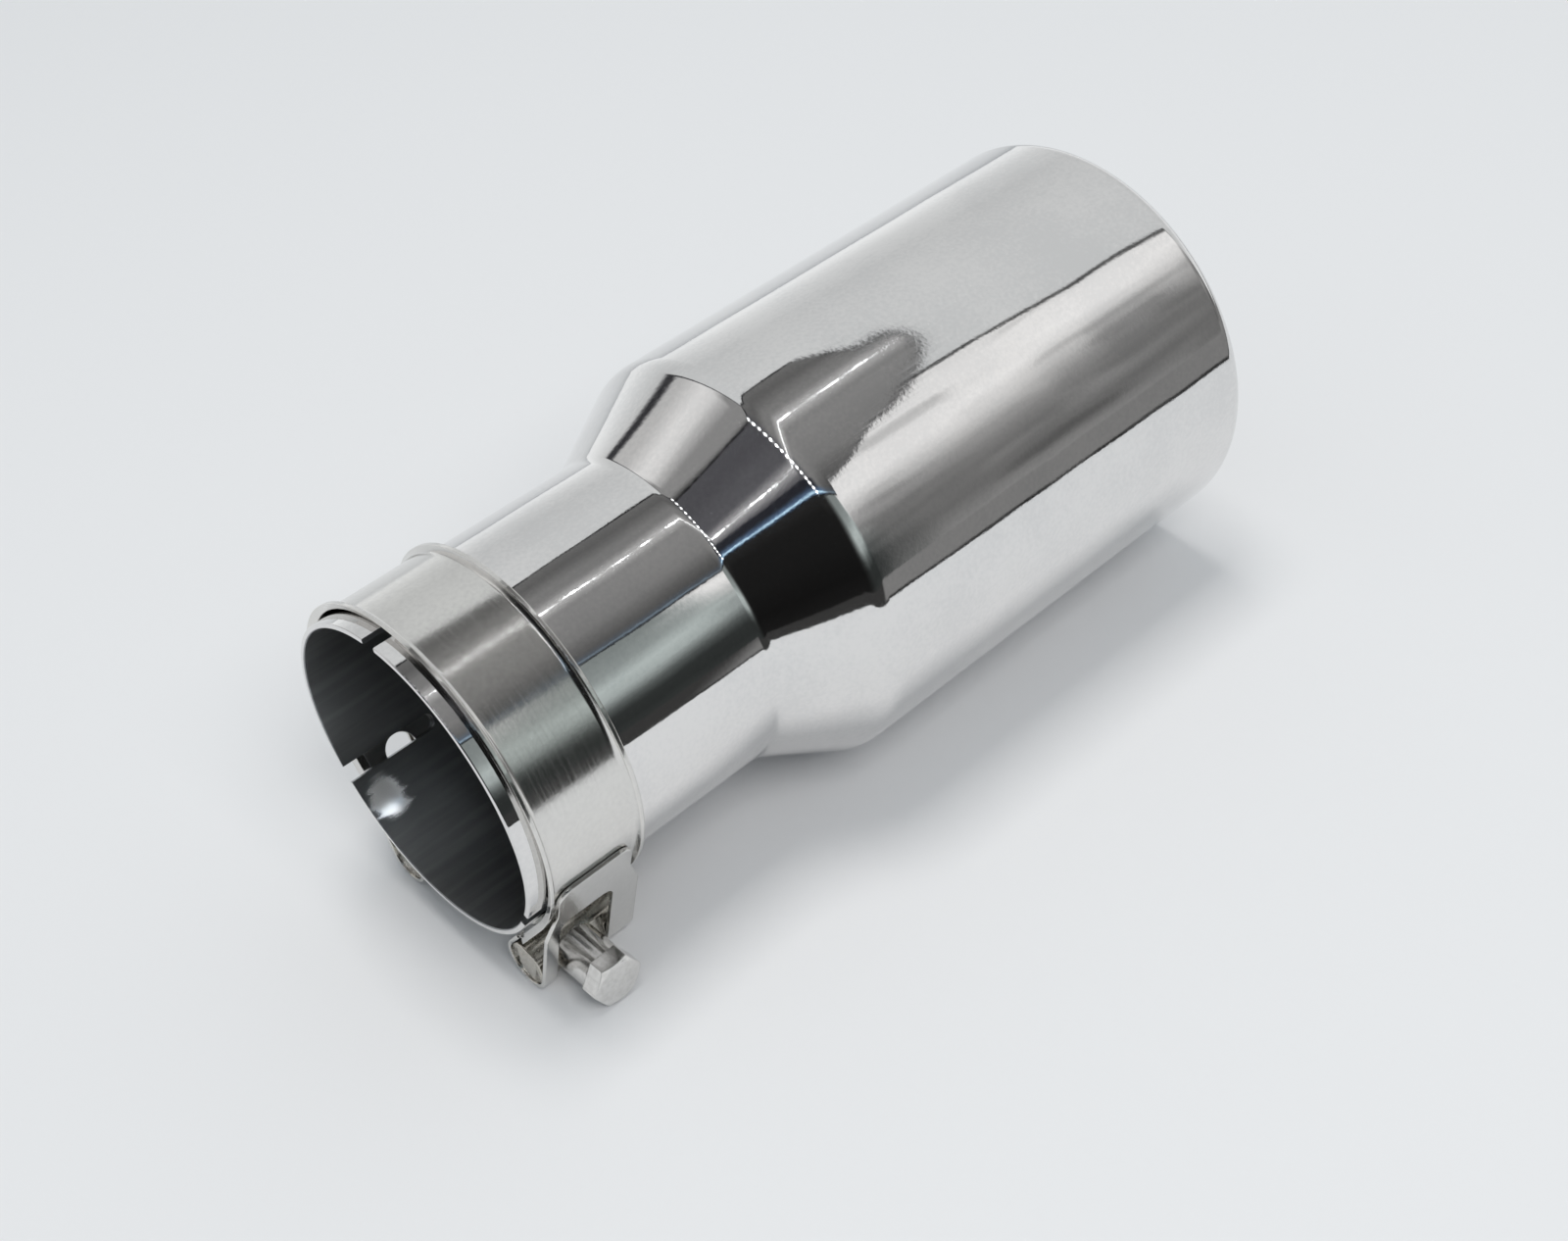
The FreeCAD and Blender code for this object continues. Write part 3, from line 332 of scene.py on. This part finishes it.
shellSizes = {
    "inletRadius": 33.7 * mm,
    "wall": 1.2 * mm,
    "neckLength": 60.7 * mm,
    "coneLength": 19.9 * mm,
    "footRadius": 4.0 * mm,
    "headRadius": 8.0 * mm,
    "rimRadius": 4.2 * mm,
    "rimLip": 3.6 * mm,
    "edgeRound": 0.25 * mm,
    "edgeSteps": 4,
    "bendSteps": 12,
    "turns": 256,
    "slotWidth": 3.6 * mm,
    "slotLength": 21.0 * mm,
    "slotCount": 3,
    "slotTurn": 2.5,
    "slotSteps": 32,
    "slotOverrun": 3 * mm,
    "cutterFrom": 0.6,        # of the inlet's radius
    "cutterReach": 0.8,
    "polishedEnd": 6 * mm,    # the inside is polished this far from the outlet
    "sharpAngle": 30,
}


# points of the arc that rounds a corner of a section
def bendPoints(before, corner, after, radius, steps):
    inward = (corner - before).normalized()
    outward = (after - corner).normalized()
    turn = inward.angle(outward)
    start = corner - inward * radius * math.tan(turn / 2)
    sign = 1 if inward.cross(outward) > 0 else -1
    centre = start + sign * radius * Vector((-inward.y, inward.x))
    spoke = start - centre
    return [centre + Matrix.Rotation(sign * turn * step / steps, 2) @ spoke for step in range(steps + 1)]


# outer line from the mouth over the turned rim, then the inner line back
def shellSection(sizes):
    radius, wall = sizes["inletRadius"], sizes["wall"]
    foot = sizes["neckLength"]
    head = foot + sizes["coneLength"]
    slope = math.atan2(barrelRadius - radius, sizes["coneLength"])
    miter = wall * math.tan(slope / 2)
    rim, edge = sizes["rimRadius"], sizes["edgeRound"]
    lip = barrelRadius - rim - sizes["rimLip"]
    footRadius, headRadius = sizes["footRadius"], sizes["headRadius"]
    outline = [
        ((0, radius), edge),
        ((foot, radius), footRadius),
        ((head, barrelRadius), headRadius),
        ((tipLength, barrelRadius), rim),
        ((tipLength, lip), edge),
        ((tipLength - wall, lip), edge),
        ((tipLength - wall, barrelRadius - wall), rim - wall),
        ((head + miter, barrelRadius - wall), headRadius - wall),
        ((foot + miter, radius - wall), footRadius + wall),
        ((0, radius - wall), edge),
    ]
    points = []
    for number, (corner, bend) in enumerate(outline):
        before, after = outline[number - 1][0], outline[(number + 1) % len(outline)][0]
        steps = sizes["edgeSteps"] if bend == edge else sizes["bendSteps"]
        points += bendPoints(Vector(before), Vector(corner), Vector(after), bend, steps)
    return points


def spinSection(points, turns):
    shape = bmesh.new()
    ring = [shape.verts.new((p.x, 0, p.y)) for p in points]
    edges = [shape.edges.new((a, b)) for a, b in zip(ring, ring[1:] + ring[:1])]
    bmesh.ops.spin(
        shape, geom=ring + edges, cent=(0, 0, 0), axis=tubeAxis, angle=math.tau, steps=turns,
        use_merge=True, use_duplicate=False)
    return shape


# one cutter that holds a bar with a round end for every slot
def slotCutter(sizes):
    half = sizes["slotWidth"] / 2
    run = sizes["slotLength"] - half
    cutter = bmesh.new()
    for number in range(sizes["slotCount"]):
        slot = bmesh.new()
        bmesh.ops.create_circle(slot, cap_ends=True, segments=sizes["slotSteps"], radius=half)
        for vert in slot.verts:
            if vert.co.x < samePoint:
                vert.co.x -= run + sizes["slotOverrun"]
        start = sizes["cutterFrom"] * sizes["inletRadius"]
        bmesh.ops.translate(slot, verts=slot.verts, vec=(run, 0, start))
        sides = bmesh.ops.extrude_face_region(slot, geom=slot.faces[:])
        lifted = [g for g in sides["geom"] if isinstance(g, bmesh.types.BMVert)]
        reach = sizes["cutterReach"] * sizes["inletRadius"]
        bmesh.ops.translate(slot, verts=lifted, vec=(0, 0, reach))
        bmesh.ops.recalc_face_normals(slot, faces=slot.faces)
        angle = math.tau * number / sizes["slotCount"] - math.radians(sizes["slotTurn"])
        bmesh.ops.transform(slot, matrix=Matrix.Rotation(angle, 4, "X"), verts=slot.verts)
        holder = bpy.data.meshes.new("slot")
        slot.to_mesh(holder)
        slot.free()
        cutter.from_mesh(holder)
        bpy.data.meshes.remove(holder)
    mesh = bpy.data.meshes.new("slotCutter")
    cutter.to_mesh(mesh)
    cutter.free()
    tool = bpy.data.objects.new("slotCutter", mesh)
    bpy.context.scene.collection.objects.link(tool)
    return tool


def cutWith(piece, tool, sharpAngle):
    cut = piece.modifiers.new("slots", "BOOLEAN")
    cut.operation = "DIFFERENCE"
    cut.solver = "EXACT"
    cut.object = tool
    bpy.context.view_layer.update()
    result = bpy.data.meshes.new_from_object(piece.evaluated_get(bpy.context.evaluated_depsgraph_get()))
    piece.modifiers.clear()
    piece.data = result
    bpy.data.objects.remove(tool)
    shadeSmooth(result, sharpAngle)


shellMesh = finishMesh(
    spinSection(shellSection(shellSizes), shellSizes["turns"]), "tipShell", shellSizes["sharpAngle"])
shell = makeObject(shellMesh, "tipShell", [polishedSteel, innerSteel], "tip_shell")
cutWith(shell, slotCutter(shellSizes), shellSizes["sharpAngle"])

# faces that look toward the axis get the dull inner steel, the second material
for face in shell.data.polygons:
    outward = Vector((0, face.center.y, face.center.z)).dot(face.normal)
    dull = outward < 0 and face.center.x < tipLength - shellSizes["polishedEnd"]
    face.material_index = 1 if dull else 0

print("modelling the clamp")

packedSharpAngle = 28


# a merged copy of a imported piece, smooth between its true edges
def smoothCopy(node, name, material):
    shape = bmesh.new()
    shape.from_mesh(nodes[node].data)
    bmesh.ops.remove_doubles(shape, verts=shape.verts, dist=samePacked)
    mesh = bpy.data.meshes.new(name)
    shape.to_mesh(mesh)
    shape.free()
    mesh.materials.clear()
    shadeSmooth(mesh, packedSharpAngle)
    piece = makeObject(mesh, name, [material], node)
    even = piece.modifiers.new("evenNormals", "WEIGHTED_NORMAL")
    even.keep_sharp = True


smoothCopy("clamp_band", "clampBand", bandSteel)
smoothCopy("bridge_plate", "bridgePlate", bandSteel)
smoothCopy("trunnion_pin", "trunnionPin", platedSteel)
smoothCopy("trunnion_nut", "trunnionNut", platedSteel)
smoothCopy("spacer_sleeve", "spacerSleeve", turnedSteel)

boltSizes = {
    "across": 10.0 * mm,
    "headHeight": 4.0 * mm,
    "headTurn": 30,            # so that two corners lie along the tube
    "headCuts": 9,
    "faceRadius": 4.75 * mm,
    "chamfer": 30,
    "leastChamfer": 0.1 * mm,
    "shankRadius": 3.0 * mm,
    "shankRound": 0.3 * mm,
    "shankInHead": 0.5 * mm,
    "coreRadius": 2.5 * mm,
    "coreInShank": 1.0 * mm,
    "tailRound": 0.6 * mm,
    "barSteps": 48,
    "roundSteps": 3,
    "threadRun": 31.0 * mm,
    "threadEnd": 2.0 * mm,     # left bare at the tail
    "threadRoot": 0.1 * mm,    # how deep the ridge stands in the core
    "threadSection": (0.04, 0.43, 0.57, 0.96),
    "pitch": 1.0 * mm,
    "stepsPerTurn": 24,
    "sharpAngle": 25,
}


# a round bar along the bolt's axis, from one place to another, with its far end rounded
def addBar(shape, sizes, radius, start, end, bevel):
    bar = bmesh.ops.create_cone(
        shape, cap_ends=True, segments=sizes["barSteps"], radius1=radius, radius2=radius, depth=end - start)
    turn = Matrix.Rotation(math.radians(90), 4, "X")
    shift = Matrix.Translation((boltMiddle, (start + end) / 2, boltHeight))
    bmesh.ops.transform(shape, matrix=shift @ turn, verts=bar["verts"])
    ring = [e for e in shape.edges if all(abs(v.co.y - end) < samePacked for v in e.verts)]
    bmesh.ops.bevel(
        shape, geom=ring, offset=bevel, segments=sizes["roundSteps"], affect="EDGES", profile=0.5,
        material=-1)


# a hexagon whose corners are turned off in a cone round the end face
def addHead(shape, sizes):
    hexagon = bmesh.ops.create_circle(
        shape, cap_ends=True, segments=6, radius=sizes["across"] / math.sqrt(3))
    turn = Matrix.Rotation(math.radians(sizes["headTurn"]), 3, "Z")
    bmesh.ops.rotate(shape, verts=hexagon["verts"], matrix=turn)
    bmesh.ops.subdivide_edges(shape, edges=shape.edges[:], cuts=sizes["headCuts"])
    face = shape.verts[:]
    slope = math.tan(math.radians(sizes["chamfer"]))
    turned = bmesh.ops.extrude_face_region(shape, geom=shape.faces[:], use_keep_orig=True)
    for vert in (g for g in turned["geom"] if isinstance(g, bmesh.types.BMVert)):
        vert.co.z = -slope * max(sizes["leastChamfer"], vert.co.length - sizes["faceRadius"])
    for vert in face:
        vert.co *= min(1, sizes["faceRadius"] / vert.co.length)
    top = [g for g in turned["geom"] if isinstance(g, bmesh.types.BMFace)]
    sides = bmesh.ops.extrude_face_region(shape, geom=top)
    for vert in (g for g in sides["geom"] if isinstance(g, bmesh.types.BMVert)):
        vert.co.z = -sizes["headHeight"]
    shift = Matrix.Translation((boltMiddle, boltLow.y, boltHeight))
    tilt = Matrix.Rotation(math.radians(90), 4, "X")
    bmesh.ops.transform(shape, matrix=shift @ tilt, verts=shape.verts)


# hexagon head, plain shank, thinner core and a helical thread ridge round it
def boltShape(sizes):
    shape = bmesh.new()
    footY, tailY = boltLow.y + sizes["headHeight"], boltHigh.y
    threadStart = tailY - sizes["threadRun"]
    shank, core, pitch = sizes["shankRadius"], sizes["coreRadius"], sizes["pitch"]
    addHead(shape, sizes)
    addBar(shape, sizes, shank, footY - sizes["shankInHead"], threadStart, sizes["shankRound"])
    addBar(shape, sizes, core, threadStart - sizes["coreInShank"], tailY, sizes["tailRound"])
    turns = int((sizes["threadRun"] - sizes["threadEnd"]) / pitch)
    root = core - sizes["threadRoot"]
    ridge = [
        shape.verts.new((boltMiddle, threadStart + along * pitch, boltHeight + radius))
        for along, radius in zip(sizes["threadSection"], (root, shank, shank, root))
    ]
    loop = [shape.edges.new((a, b)) for a, b in zip(ridge, ridge[1:] + ridge[:1])]
    swept = bmesh.ops.spin(
        shape, geom=ridge + loop, cent=(boltMiddle, 0, boltHeight), axis=(0, 1, 0),
        dvec=(0, pitch / sizes["stepsPerTurn"], 0), angle=math.tau * turns,
        steps=turns * sizes["stepsPerTurn"], use_merge=False, use_duplicate=False)
    lastLoop = [g for g in swept["geom_last"] if isinstance(g, bmesh.types.BMEdge)]
    bmesh.ops.contextual_create(shape, geom=loop)
    bmesh.ops.contextual_create(shape, geom=lastLoop)
    return shape


boltMesh = finishMesh(boltShape(boltSizes), "clampBolt", boltSizes["sharpAngle"])
makeObject(boltMesh, "clampBolt", [turnedSteel], "clamp_bolt")

print("setting the studio")

# the walls that polished steel sees, as display brightness by elevation in degrees
walls = {
    "right": [(-20, 0.88), (0, 0.88), (12, 0.79), (24, 0.74), (45, 0.77), (90, 0.80)],
    "front": [(-20, 0.54), (-3, 0.50), (7, 0.40), (16, 0.42), (24, 0.52), (31, 0.72), (38, 0.87),
              (90, 0.86)],
    "left": [(-20, 0.34), (-4, 0.22), (2, 0.19), (9, 0.20), (14, 0.34), (20, 0.64), (26, 0.70),
             (33, 0.56), (42, 0.50), (90, 0.50)],
    "back": [(-20, 0.78), (20, 0.68), (35, 0.70), (46, 0.84), (52, 0.80), (60, 0.52), (90, 0.50)],
    "viewer": [(-20, 0.30), (-9, 0.13), (8, 0.10), (22, 0.12), (38, 0.13), (44, 0.16), (90, 0.18)],
}
wallTints = {"left": (0.95, 1, 0.995), "right": (0.985, 0.995, 1)}
# the bearings over which each wall takes over from the one before, in degrees round the room
corners = [
    ("left", -104, -80), ("front", -62, -57), ("right", -21, -19), ("back", 90, 98), ("viewer", 142, 156),
]
# dark lines down two corners: bearing, half widths of core and line, and the heights where they begin
wallLines = {
    "corner": {"at": -20, "width": (0.5, 1.4), "begin": (30, 40), "colour": (0.26, 0.26, 0.26, 1)},
    "curtain": {"at": 95, "width": (0.5, 2.2), "begin": (5, 14), "colour": (0.20, 0.20, 0.21, 1)},
}
# soft slanting streaks on the front wall, between the bearings left and right
streaks = {
    "scale": 5.0, "detail": 1.5, "roughness": 0.5, "turn": (20, 35, -50), "stretch": (1.6, 1.2, 0.9),
    "left": (-66, -58), "right": (-20, -24),
    "bright": (1, 1, 1, 1), "brightRange": (0.52, 0.75), "brightShare": 0.28, "brightBegin": (4, 22),
    "dark": (0.1, 0.1, 0.1, 1), "darkRange": (0.48, 0.28), "darkShare": 0.30,
}
# a slow wobble keeps the walls' bands and the ceiling's far edge from being straight
wobble = {"scale": 4.0, "detail": 2.0, "walls": 5.0, "ceiling": 0.14}
# the ceiling, placed by how far to the right and to the far side a ray runs for each metre up
ceiling = {
    "left": -1.4, "right": 0.70, "near": -0.85, "far": 0.36, "nearSlope": -0.14, "farSlope": 0.33,
    "depth": [(-1.1, 0.26), (-0.85, 0.34), (-0.6, 0.46), (-0.3, 0.50), (0.05, 0.46), (0.2, 0.36),
              (0.4, 0.42)],
    "edge": (0.12, 0.12, 0.125, 1), "border": 0.022, "rightBorder": 0.3, "soft": 0.01, "leastRise": 0.05,
    "leftTint": (0.27, 0.27, 0.29, 1), "leftFade": (0, -0.35), "leftShare": 0.7,
    "dark": (0.165, 0.17, 0.19, 1), "darkNear": (-0.57, -0.59), "darkLeft": (0.05, -0.25),
}
# a row of small lamps crosses it in a soft glow, and a column of them shows in the bends alone
ceilingLamps = {
    "rowAt": -0.16, "rowSlope": 0.42, "rowGap": 0.045, "rowRadius": 0.008,
    "glow": (0.84, 0.84, 0.84, 1), "glowReach": 0.12, "glowShare": 0.55,
    "columnAt": -0.3, "columnGap": 0.07, "columnRadius": 0.017, "columnStretch": 0.3,
    "shift": 4, "core": 0.6, "power": 9.0, "colour": (0.95, 0.98, 1.0, 1),
}
# one bluish line runs along its near side, weaker to the right
ceilingLine = {
    "at": -0.79, "glow": (0.34, 0.43, 0.55, 1), "glowWidth": (0.0, 0.12),
    "core": (0.78, 0.92, 1.0, 1), "coreWidth": (0.004, 0.022), "fade": (0.3, -0.1), "least": 0.25,
}
# plain light for all surfaces, the backdrop that the camera sees, and how display brightness becomes
# light: raised by the display's gamma and by the share that the steel reflects
worldLight = {
    "plain": (0.86, 0.95, 1.0, 1), "plainStrength": 0.40, "backdrop": (0.74, 0.77, 0.81, 1),
    "gamma": 2.2, "steelShare": 0.78,
}


def noiseOf(tree, place, values):
    noise = setInputs(addNode(tree, "ShaderNodeTexNoise"), Scale=values["scale"], Detail=values["detail"])
    tree.links.new(place, noise.inputs["Vector"])
    return noise


# the colour of a ramp at a value, from stops of place and brightness
def rampOf(tree, value, stops, tint=(1, 1, 1)):
    lowest, highest = stops[0][0], stops[-1][0]
    place = setInputs(addNode(tree, "ShaderNodeMapRange"), From_Min=lowest, From_Max=highest)
    ramp = addNode(tree, "ShaderNodeValToRGB")
    points = ramp.color_ramp.elements
    points[0].color = (*(stops[0][1] * part for part in tint), 1)
    points[1].color = (*(stops[-1][1] * part for part in tint), 1)
    for height, bright in stops[1:-1]:
        point = points.new((height - lowest) / (highest - lowest))
        point.color = (*(bright * part for part in tint), 1)
    tree.links.new(value, place.inputs["Value"])
    tree.links.new(place.outputs["Result"], ramp.inputs["Fac"])
    return ramp.outputs["Color"]


world = bpy.data.worlds.new("studio")
bpy.context.scene.world = world
world.use_nodes = True
world.cycles.sampling_method = "NONE"
sky = world.node_tree
direction = addNode(sky, "ShaderNodeTexCoord").outputs["Generated"]
split = addNode(sky, "ShaderNodeSeparateXYZ")
sky.links.new(direction, split.inputs["Vector"])
ripple = noiseOf(sky, direction, wobble).outputs["Fac"]
degree = 180 / math.pi
sway = mathNode(sky, "MULTIPLY_ADD", ripple, wobble["walls"], -wobble["walls"] / 2)
height = mathNode(sky, "MULTIPLY_ADD", mathNode(sky, "ARCSINE", split.outputs["Z"]), degree, sway)
bearing = product(sky, mathNode(sky, "ARCTAN2", split.outputs["Y"], split.outputs["X"]), degree)

# the walls change at the corners of the room
side = {name: rampOf(sky, height, stops, wallTints.get(name, (1, 1, 1))) for name, stops in walls.items()}
room = side["viewer"]
for wall, start, end in corners:
    room = blendOf(sky, room, side[wall], between(sky, bearing, start, end))

streakMap = addNode(sky, "ShaderNodeMapping")
streakMap.inputs["Rotation"].default_value = [math.radians(angle) for angle in streaks["turn"]]
streakMap.inputs["Scale"].default_value = streaks["stretch"]
sky.links.new(direction, streakMap.inputs["Vector"])
streak = setInputs(noiseOf(sky, streakMap.outputs["Vector"], streaks), Roughness=streaks["roughness"])
streak = streak.outputs["Fac"]
onFront = product(sky, between(sky, bearing, *streaks["right"]), between(sky, bearing, *streaks["left"]))
brightStreak = product(
    sky, between(sky, streak, *streaks["brightRange"]), streaks["brightShare"], onFront,
    between(sky, height, *streaks["brightBegin"]))
darkStreak = product(sky, between(sky, streak, *streaks["darkRange"]), streaks["darkShare"], onFront)
room = blendOf(sky, room, streaks["bright"], brightStreak)
room = blendOf(sky, room, streaks["dark"], darkStreak)
for line in wallLines.values():
    onLine = product(
        sky, near(sky, bearing, line["at"], *line["width"]), between(sky, height, *line["begin"]))
    room = blendOf(sky, room, line["colour"], onLine)

# the ceiling hides the walls above its edges
rise = mathNode(sky, "MAXIMUM", split.outputs["Z"], ceiling["leastRise"])
rightward = mathNode(sky, "DIVIDE", split.outputs["X"], rise)
farward = mathNode(sky, "DIVIDE", split.outputs["Y"], rise)
bent = mathNode(
    sky, "MULTIPLY_ADD", ripple, wobble["ceiling"],
    mathNode(sky, "SUBTRACT", farward, wobble["ceiling"] / 2))
toFar = mathNode(sky, "MULTIPLY_ADD", rightward, -ceiling["farSlope"], bent)
toNear = mathNode(sky, "MULTIPLY_ADD", rightward, -ceiling["nearSlope"], farward)


# 1 inside the ceiling and 0 outside it, with the edge moved inward
def insideOf(tree, inward):
    soft, far = ceiling["soft"], ceiling["far"] - inward
    mask = between(tree, toFar, far, far - soft)
    for value, low in ((toNear, ceiling["near"]), (rightward, ceiling["left"])):
        mask = product(tree, mask, between(tree, value, low + inward, low + inward + soft))
    right = ceiling["right"] - ceiling["rightBorder"] * inward
    return product(tree, mask, between(tree, rightward, right, right - soft))


panel = rampOf(sky, toFar, ceiling["depth"])
onLeft = product(sky, between(sky, rightward, *ceiling["leftFade"]), ceiling["leftShare"])
panel = blendOf(sky, panel, ceiling["leftTint"], onLeft)
onDark = product(
    sky, between(sky, toNear, *ceiling["darkNear"]), between(sky, rightward, *ceiling["darkLeft"]))
panel = blendOf(sky, panel, ceiling["dark"], onDark)
lampRow = mathNode(sky, "MULTIPLY_ADD", rightward, ceilingLamps["rowSlope"], ceilingLamps["rowAt"])
fromRow = mathNode(sky, "SUBTRACT", farward, lampRow)
onGlow = product(sky, near(sky, fromRow, 0, 0, ceilingLamps["glowReach"]), ceilingLamps["glowShare"])
panel = blendOf(sky, panel, ceilingLamps["glow"], onGlow)
lineFade = mathNode(
    sky, "MULTIPLY_ADD", between(sky, rightward, *ceilingLine["fade"]), 1 - ceilingLine["least"],
    ceilingLine["least"])
for part in ("glow", "core"):
    onLine = product(sky, near(sky, toNear, ceilingLine["at"], *ceilingLine[part + "Width"]), lineFade)
    panel = blendOf(sky, panel, ceilingLine[part], onLine)
onPanel = insideOf(sky, ceiling["border"])
room = blendOf(sky, room, ceiling["edge"], insideOf(sky, 0))
room = blendOf(sky, room, panel, onPanel)


# a mask of small round lamps, with equal gaps along a line
def lampsAlong(tree, along, across, gap, radius):
    shifted = mathNode(tree, "ADD", along, ceilingLamps["shift"])
    cell = mathNode(tree, "FRACT", mathNode(tree, "DIVIDE", shifted, gap))
    inCell = product(tree, mathNode(tree, "SUBTRACT", cell, 0.5), gap)
    squares = mathNode(
        tree, "ADD", mathNode(tree, "POWER", inCell, 2), mathNode(tree, "POWER", across, 2))
    return between(tree, mathNode(tree, "SQRT", squares), radius, ceilingLamps["core"] * radius)


rowMask = lampsAlong(sky, rightward, fromRow, ceilingLamps["rowGap"], ceilingLamps["rowRadius"])
fromColumn = product(
    sky, mathNode(sky, "SUBTRACT", rightward, ceilingLamps["columnAt"]), ceilingLamps["columnStretch"])
columnMask = lampsAlong(
    sky, farward, fromColumn, ceilingLamps["columnGap"], ceilingLamps["columnRadius"])
lampMask = product(sky, mathNode(sky, "MAXIMUM", rowMask, columnMask), onPanel)

raised = setInputs(addNode(sky, "ShaderNodeGamma"), Gamma=worldLight["gamma"])
sky.links.new(room, raised.inputs["Color"])
roomLight = setInputs(addNode(sky, "ShaderNodeBackground"), Strength=1 / worldLight["steelShare"])
sky.links.new(raised.outputs["Color"], roomLight.inputs["Color"])
lampLight = setInputs(addNode(sky, "ShaderNodeBackground"), Color=ceilingLamps["colour"])
sky.links.new(product(sky, lampMask, ceilingLamps["power"]), lampLight.inputs["Strength"])
litRoom = addNode(sky, "ShaderNodeAddShader")
sky.links.new(roomLight.outputs["Background"], litRoom.inputs[0])
sky.links.new(lampLight.outputs["Background"], litRoom.inputs[1])

# steel sees the room, the camera the pale backdrop, and every other ray the plain light
plainLight = setInputs(
    sky.nodes["Background"], Color=worldLight["plain"], Strength=worldLight["plainStrength"])
paleLight = setInputs(addNode(sky, "ShaderNodeBackground"), Color=worldLight["backdrop"])
rays = addNode(sky, "ShaderNodeLightPath")
seen = addNode(sky, "ShaderNodeMixShader")
sky.links.new(rays.outputs["Is Camera Ray"], seen.inputs["Fac"])
sky.links.new(plainLight.outputs["Background"], seen.inputs[1])
sky.links.new(paleLight.outputs["Background"], seen.inputs[2])
mirrored = addNode(sky, "ShaderNodeMixShader")
sky.links.new(rays.outputs["Is Glossy Ray"], mirrored.inputs["Fac"])
sky.links.new(seen.outputs["Shader"], mirrored.inputs[1])
sky.links.new(litRoom.outputs["Shader"], mirrored.inputs[2])
sky.links.new(mirrored.outputs["Shader"], sky.nodes["World Output"].inputs["Surface"])

# the table is pale all over, but in the steel it ends in front in a dark slanting edge,
# and the room beyond that edge is darker to one side
table = {
    "reach": 1.5, "colour": (0.82, 0.82, 0.835, 1), "roughness": 0.7, "shine": 0.1,
    "frontEdge": -0.37, "slant": -0.45, "gap": 0.026, "edge": (0.03, 0.03, 0.03, 1),
    "room": (0.23, 0.23, 0.23, 1), "darkRoom": (0.045, 0.045, 0.045, 1), "lean": (-0.62, -0.45),
    "leastDepth": -0.1,
}
floorMesh = bpy.data.meshes.new("floor")
floorShape = bmesh.new()
bmesh.ops.create_grid(floorShape, x_segments=1, y_segments=1, size=table["reach"])
bmesh.ops.translate(floorShape, verts=floorShape.verts, vec=(0, 0, shellLow.z))
floorShape.to_mesh(floorMesh)
floorShape.free()
floor = bpy.data.objects.new("floor", floorMesh)
bpy.context.scene.collection.objects.link(floor)

floorPaint, paint, paleTop = newMaterial("floorPaint")
setInputs(
    paleTop, Base_Color=table["colour"], Roughness=table["roughness"], Specular_IOR_Level=table["shine"])
floorPlace = addNode(paint, "ShaderNodeTexCoord")
floorSplit = addNode(paint, "ShaderNodeSeparateXYZ")
paint.links.new(floorPlace.outputs["Object"], floorSplit.inputs["Vector"])
floorX, floorY = floorSplit.outputs["X"], floorSplit.outputs["Y"]
frontward = mathNode(paint, "MULTIPLY_ADD", floorX, table["slant"], floorY)
beyond = mathNode(paint, "LESS_THAN", frontward, table["frontEdge"])
roomFrom, roomFull = (table["frontEdge"] - table["gap"] * share for share in (1, 2))
lean = mathNode(paint, "DIVIDE", floorX, mathNode(paint, "MINIMUM", floorY, table["leastDepth"]))
roomColour = blendOf(paint, table["room"], table["darkRoom"], between(paint, lean, *table["lean"]))
edgeColour = blendOf(paint, table["edge"], roomColour, between(paint, frontward, roomFrom, roomFull))
edgeGlow = addNode(paint, "ShaderNodeEmission")
paint.links.new(edgeColour, edgeGlow.inputs["Color"])
floorRays = addNode(paint, "ShaderNodeLightPath")
floorMix = addNode(paint, "ShaderNodeMixShader")
paint.links.new(product(paint, beyond, floorRays.outputs["Is Glossy Ray"]), floorMix.inputs["Fac"])
paint.links.new(paleTop.outputs["BSDF"], floorMix.inputs[1])
paint.links.new(edgeGlow.outputs["Emission"], floorMix.inputs[2])
paint.links.new(floorMix.outputs["Shader"], paint.nodes["Material Output"].inputs["Surface"])
floorMesh.materials.append(floorPaint)

# two soft lamps, left out of the steel, which sees the room
lamps = {
    "overheadLamp": {
        "place": Vector((0.10, 0.22, 1.95)), "width": 0.75, "power": 15.5, "colour": (1, 0.98, 0.95),
    },
    "frontLamp": {
        "place": Vector((-0.12, -1.21, 1.58)), "width": 0.9, "power": 13.5, "colour": (1, 0.99, 0.97),
    },
}
lampAim = Vector((0.09, 0, 0))
for name, lamp in lamps.items():
    lampData = bpy.data.lights.new(name, "AREA")
    lampData.size = lamp["width"]
    lampData.energy = lamp["power"]
    lampData.color = lamp["colour"]
    stand = bpy.data.objects.new(name, lampData)
    bpy.context.scene.collection.objects.link(stand)
    stand.location = lamp["place"]
    stand.rotation_euler = (lampAim - lamp["place"]).to_track_quat("-Z", "Y").to_euler()
    stand.visible_glossy = False

camera = {
    "place": Vector((-120.4, -264.7, 283.4)) * mm,
    "aim": Vector((41.6, -61.8, 48.6)) * mm,
    "roll": 6.9,
    "lens": 50.2,
    "sensor": 36,
    "nearest": 10 * mm,
}
lensData = bpy.data.cameras.new("camera")
lensData.lens = camera["lens"]
lensData.sensor_width = camera["sensor"]
lensData.clip_start = camera["nearest"]
viewer = bpy.data.objects.new("camera", lensData)
bpy.context.scene.collection.objects.link(viewer)
look = (camera["aim"] - camera["place"]).to_track_quat("-Z", "Y").to_matrix().to_4x4()
roll = Matrix.Rotation(math.radians(-camera["roll"]), 4, "Z")
viewer.matrix_world = Matrix.Translation(camera["place"]) @ look @ roll
bpy.context.scene.camera = viewer
bpy.context.scene.view_settings.view_transform = "Standard"

print("tip dressed")
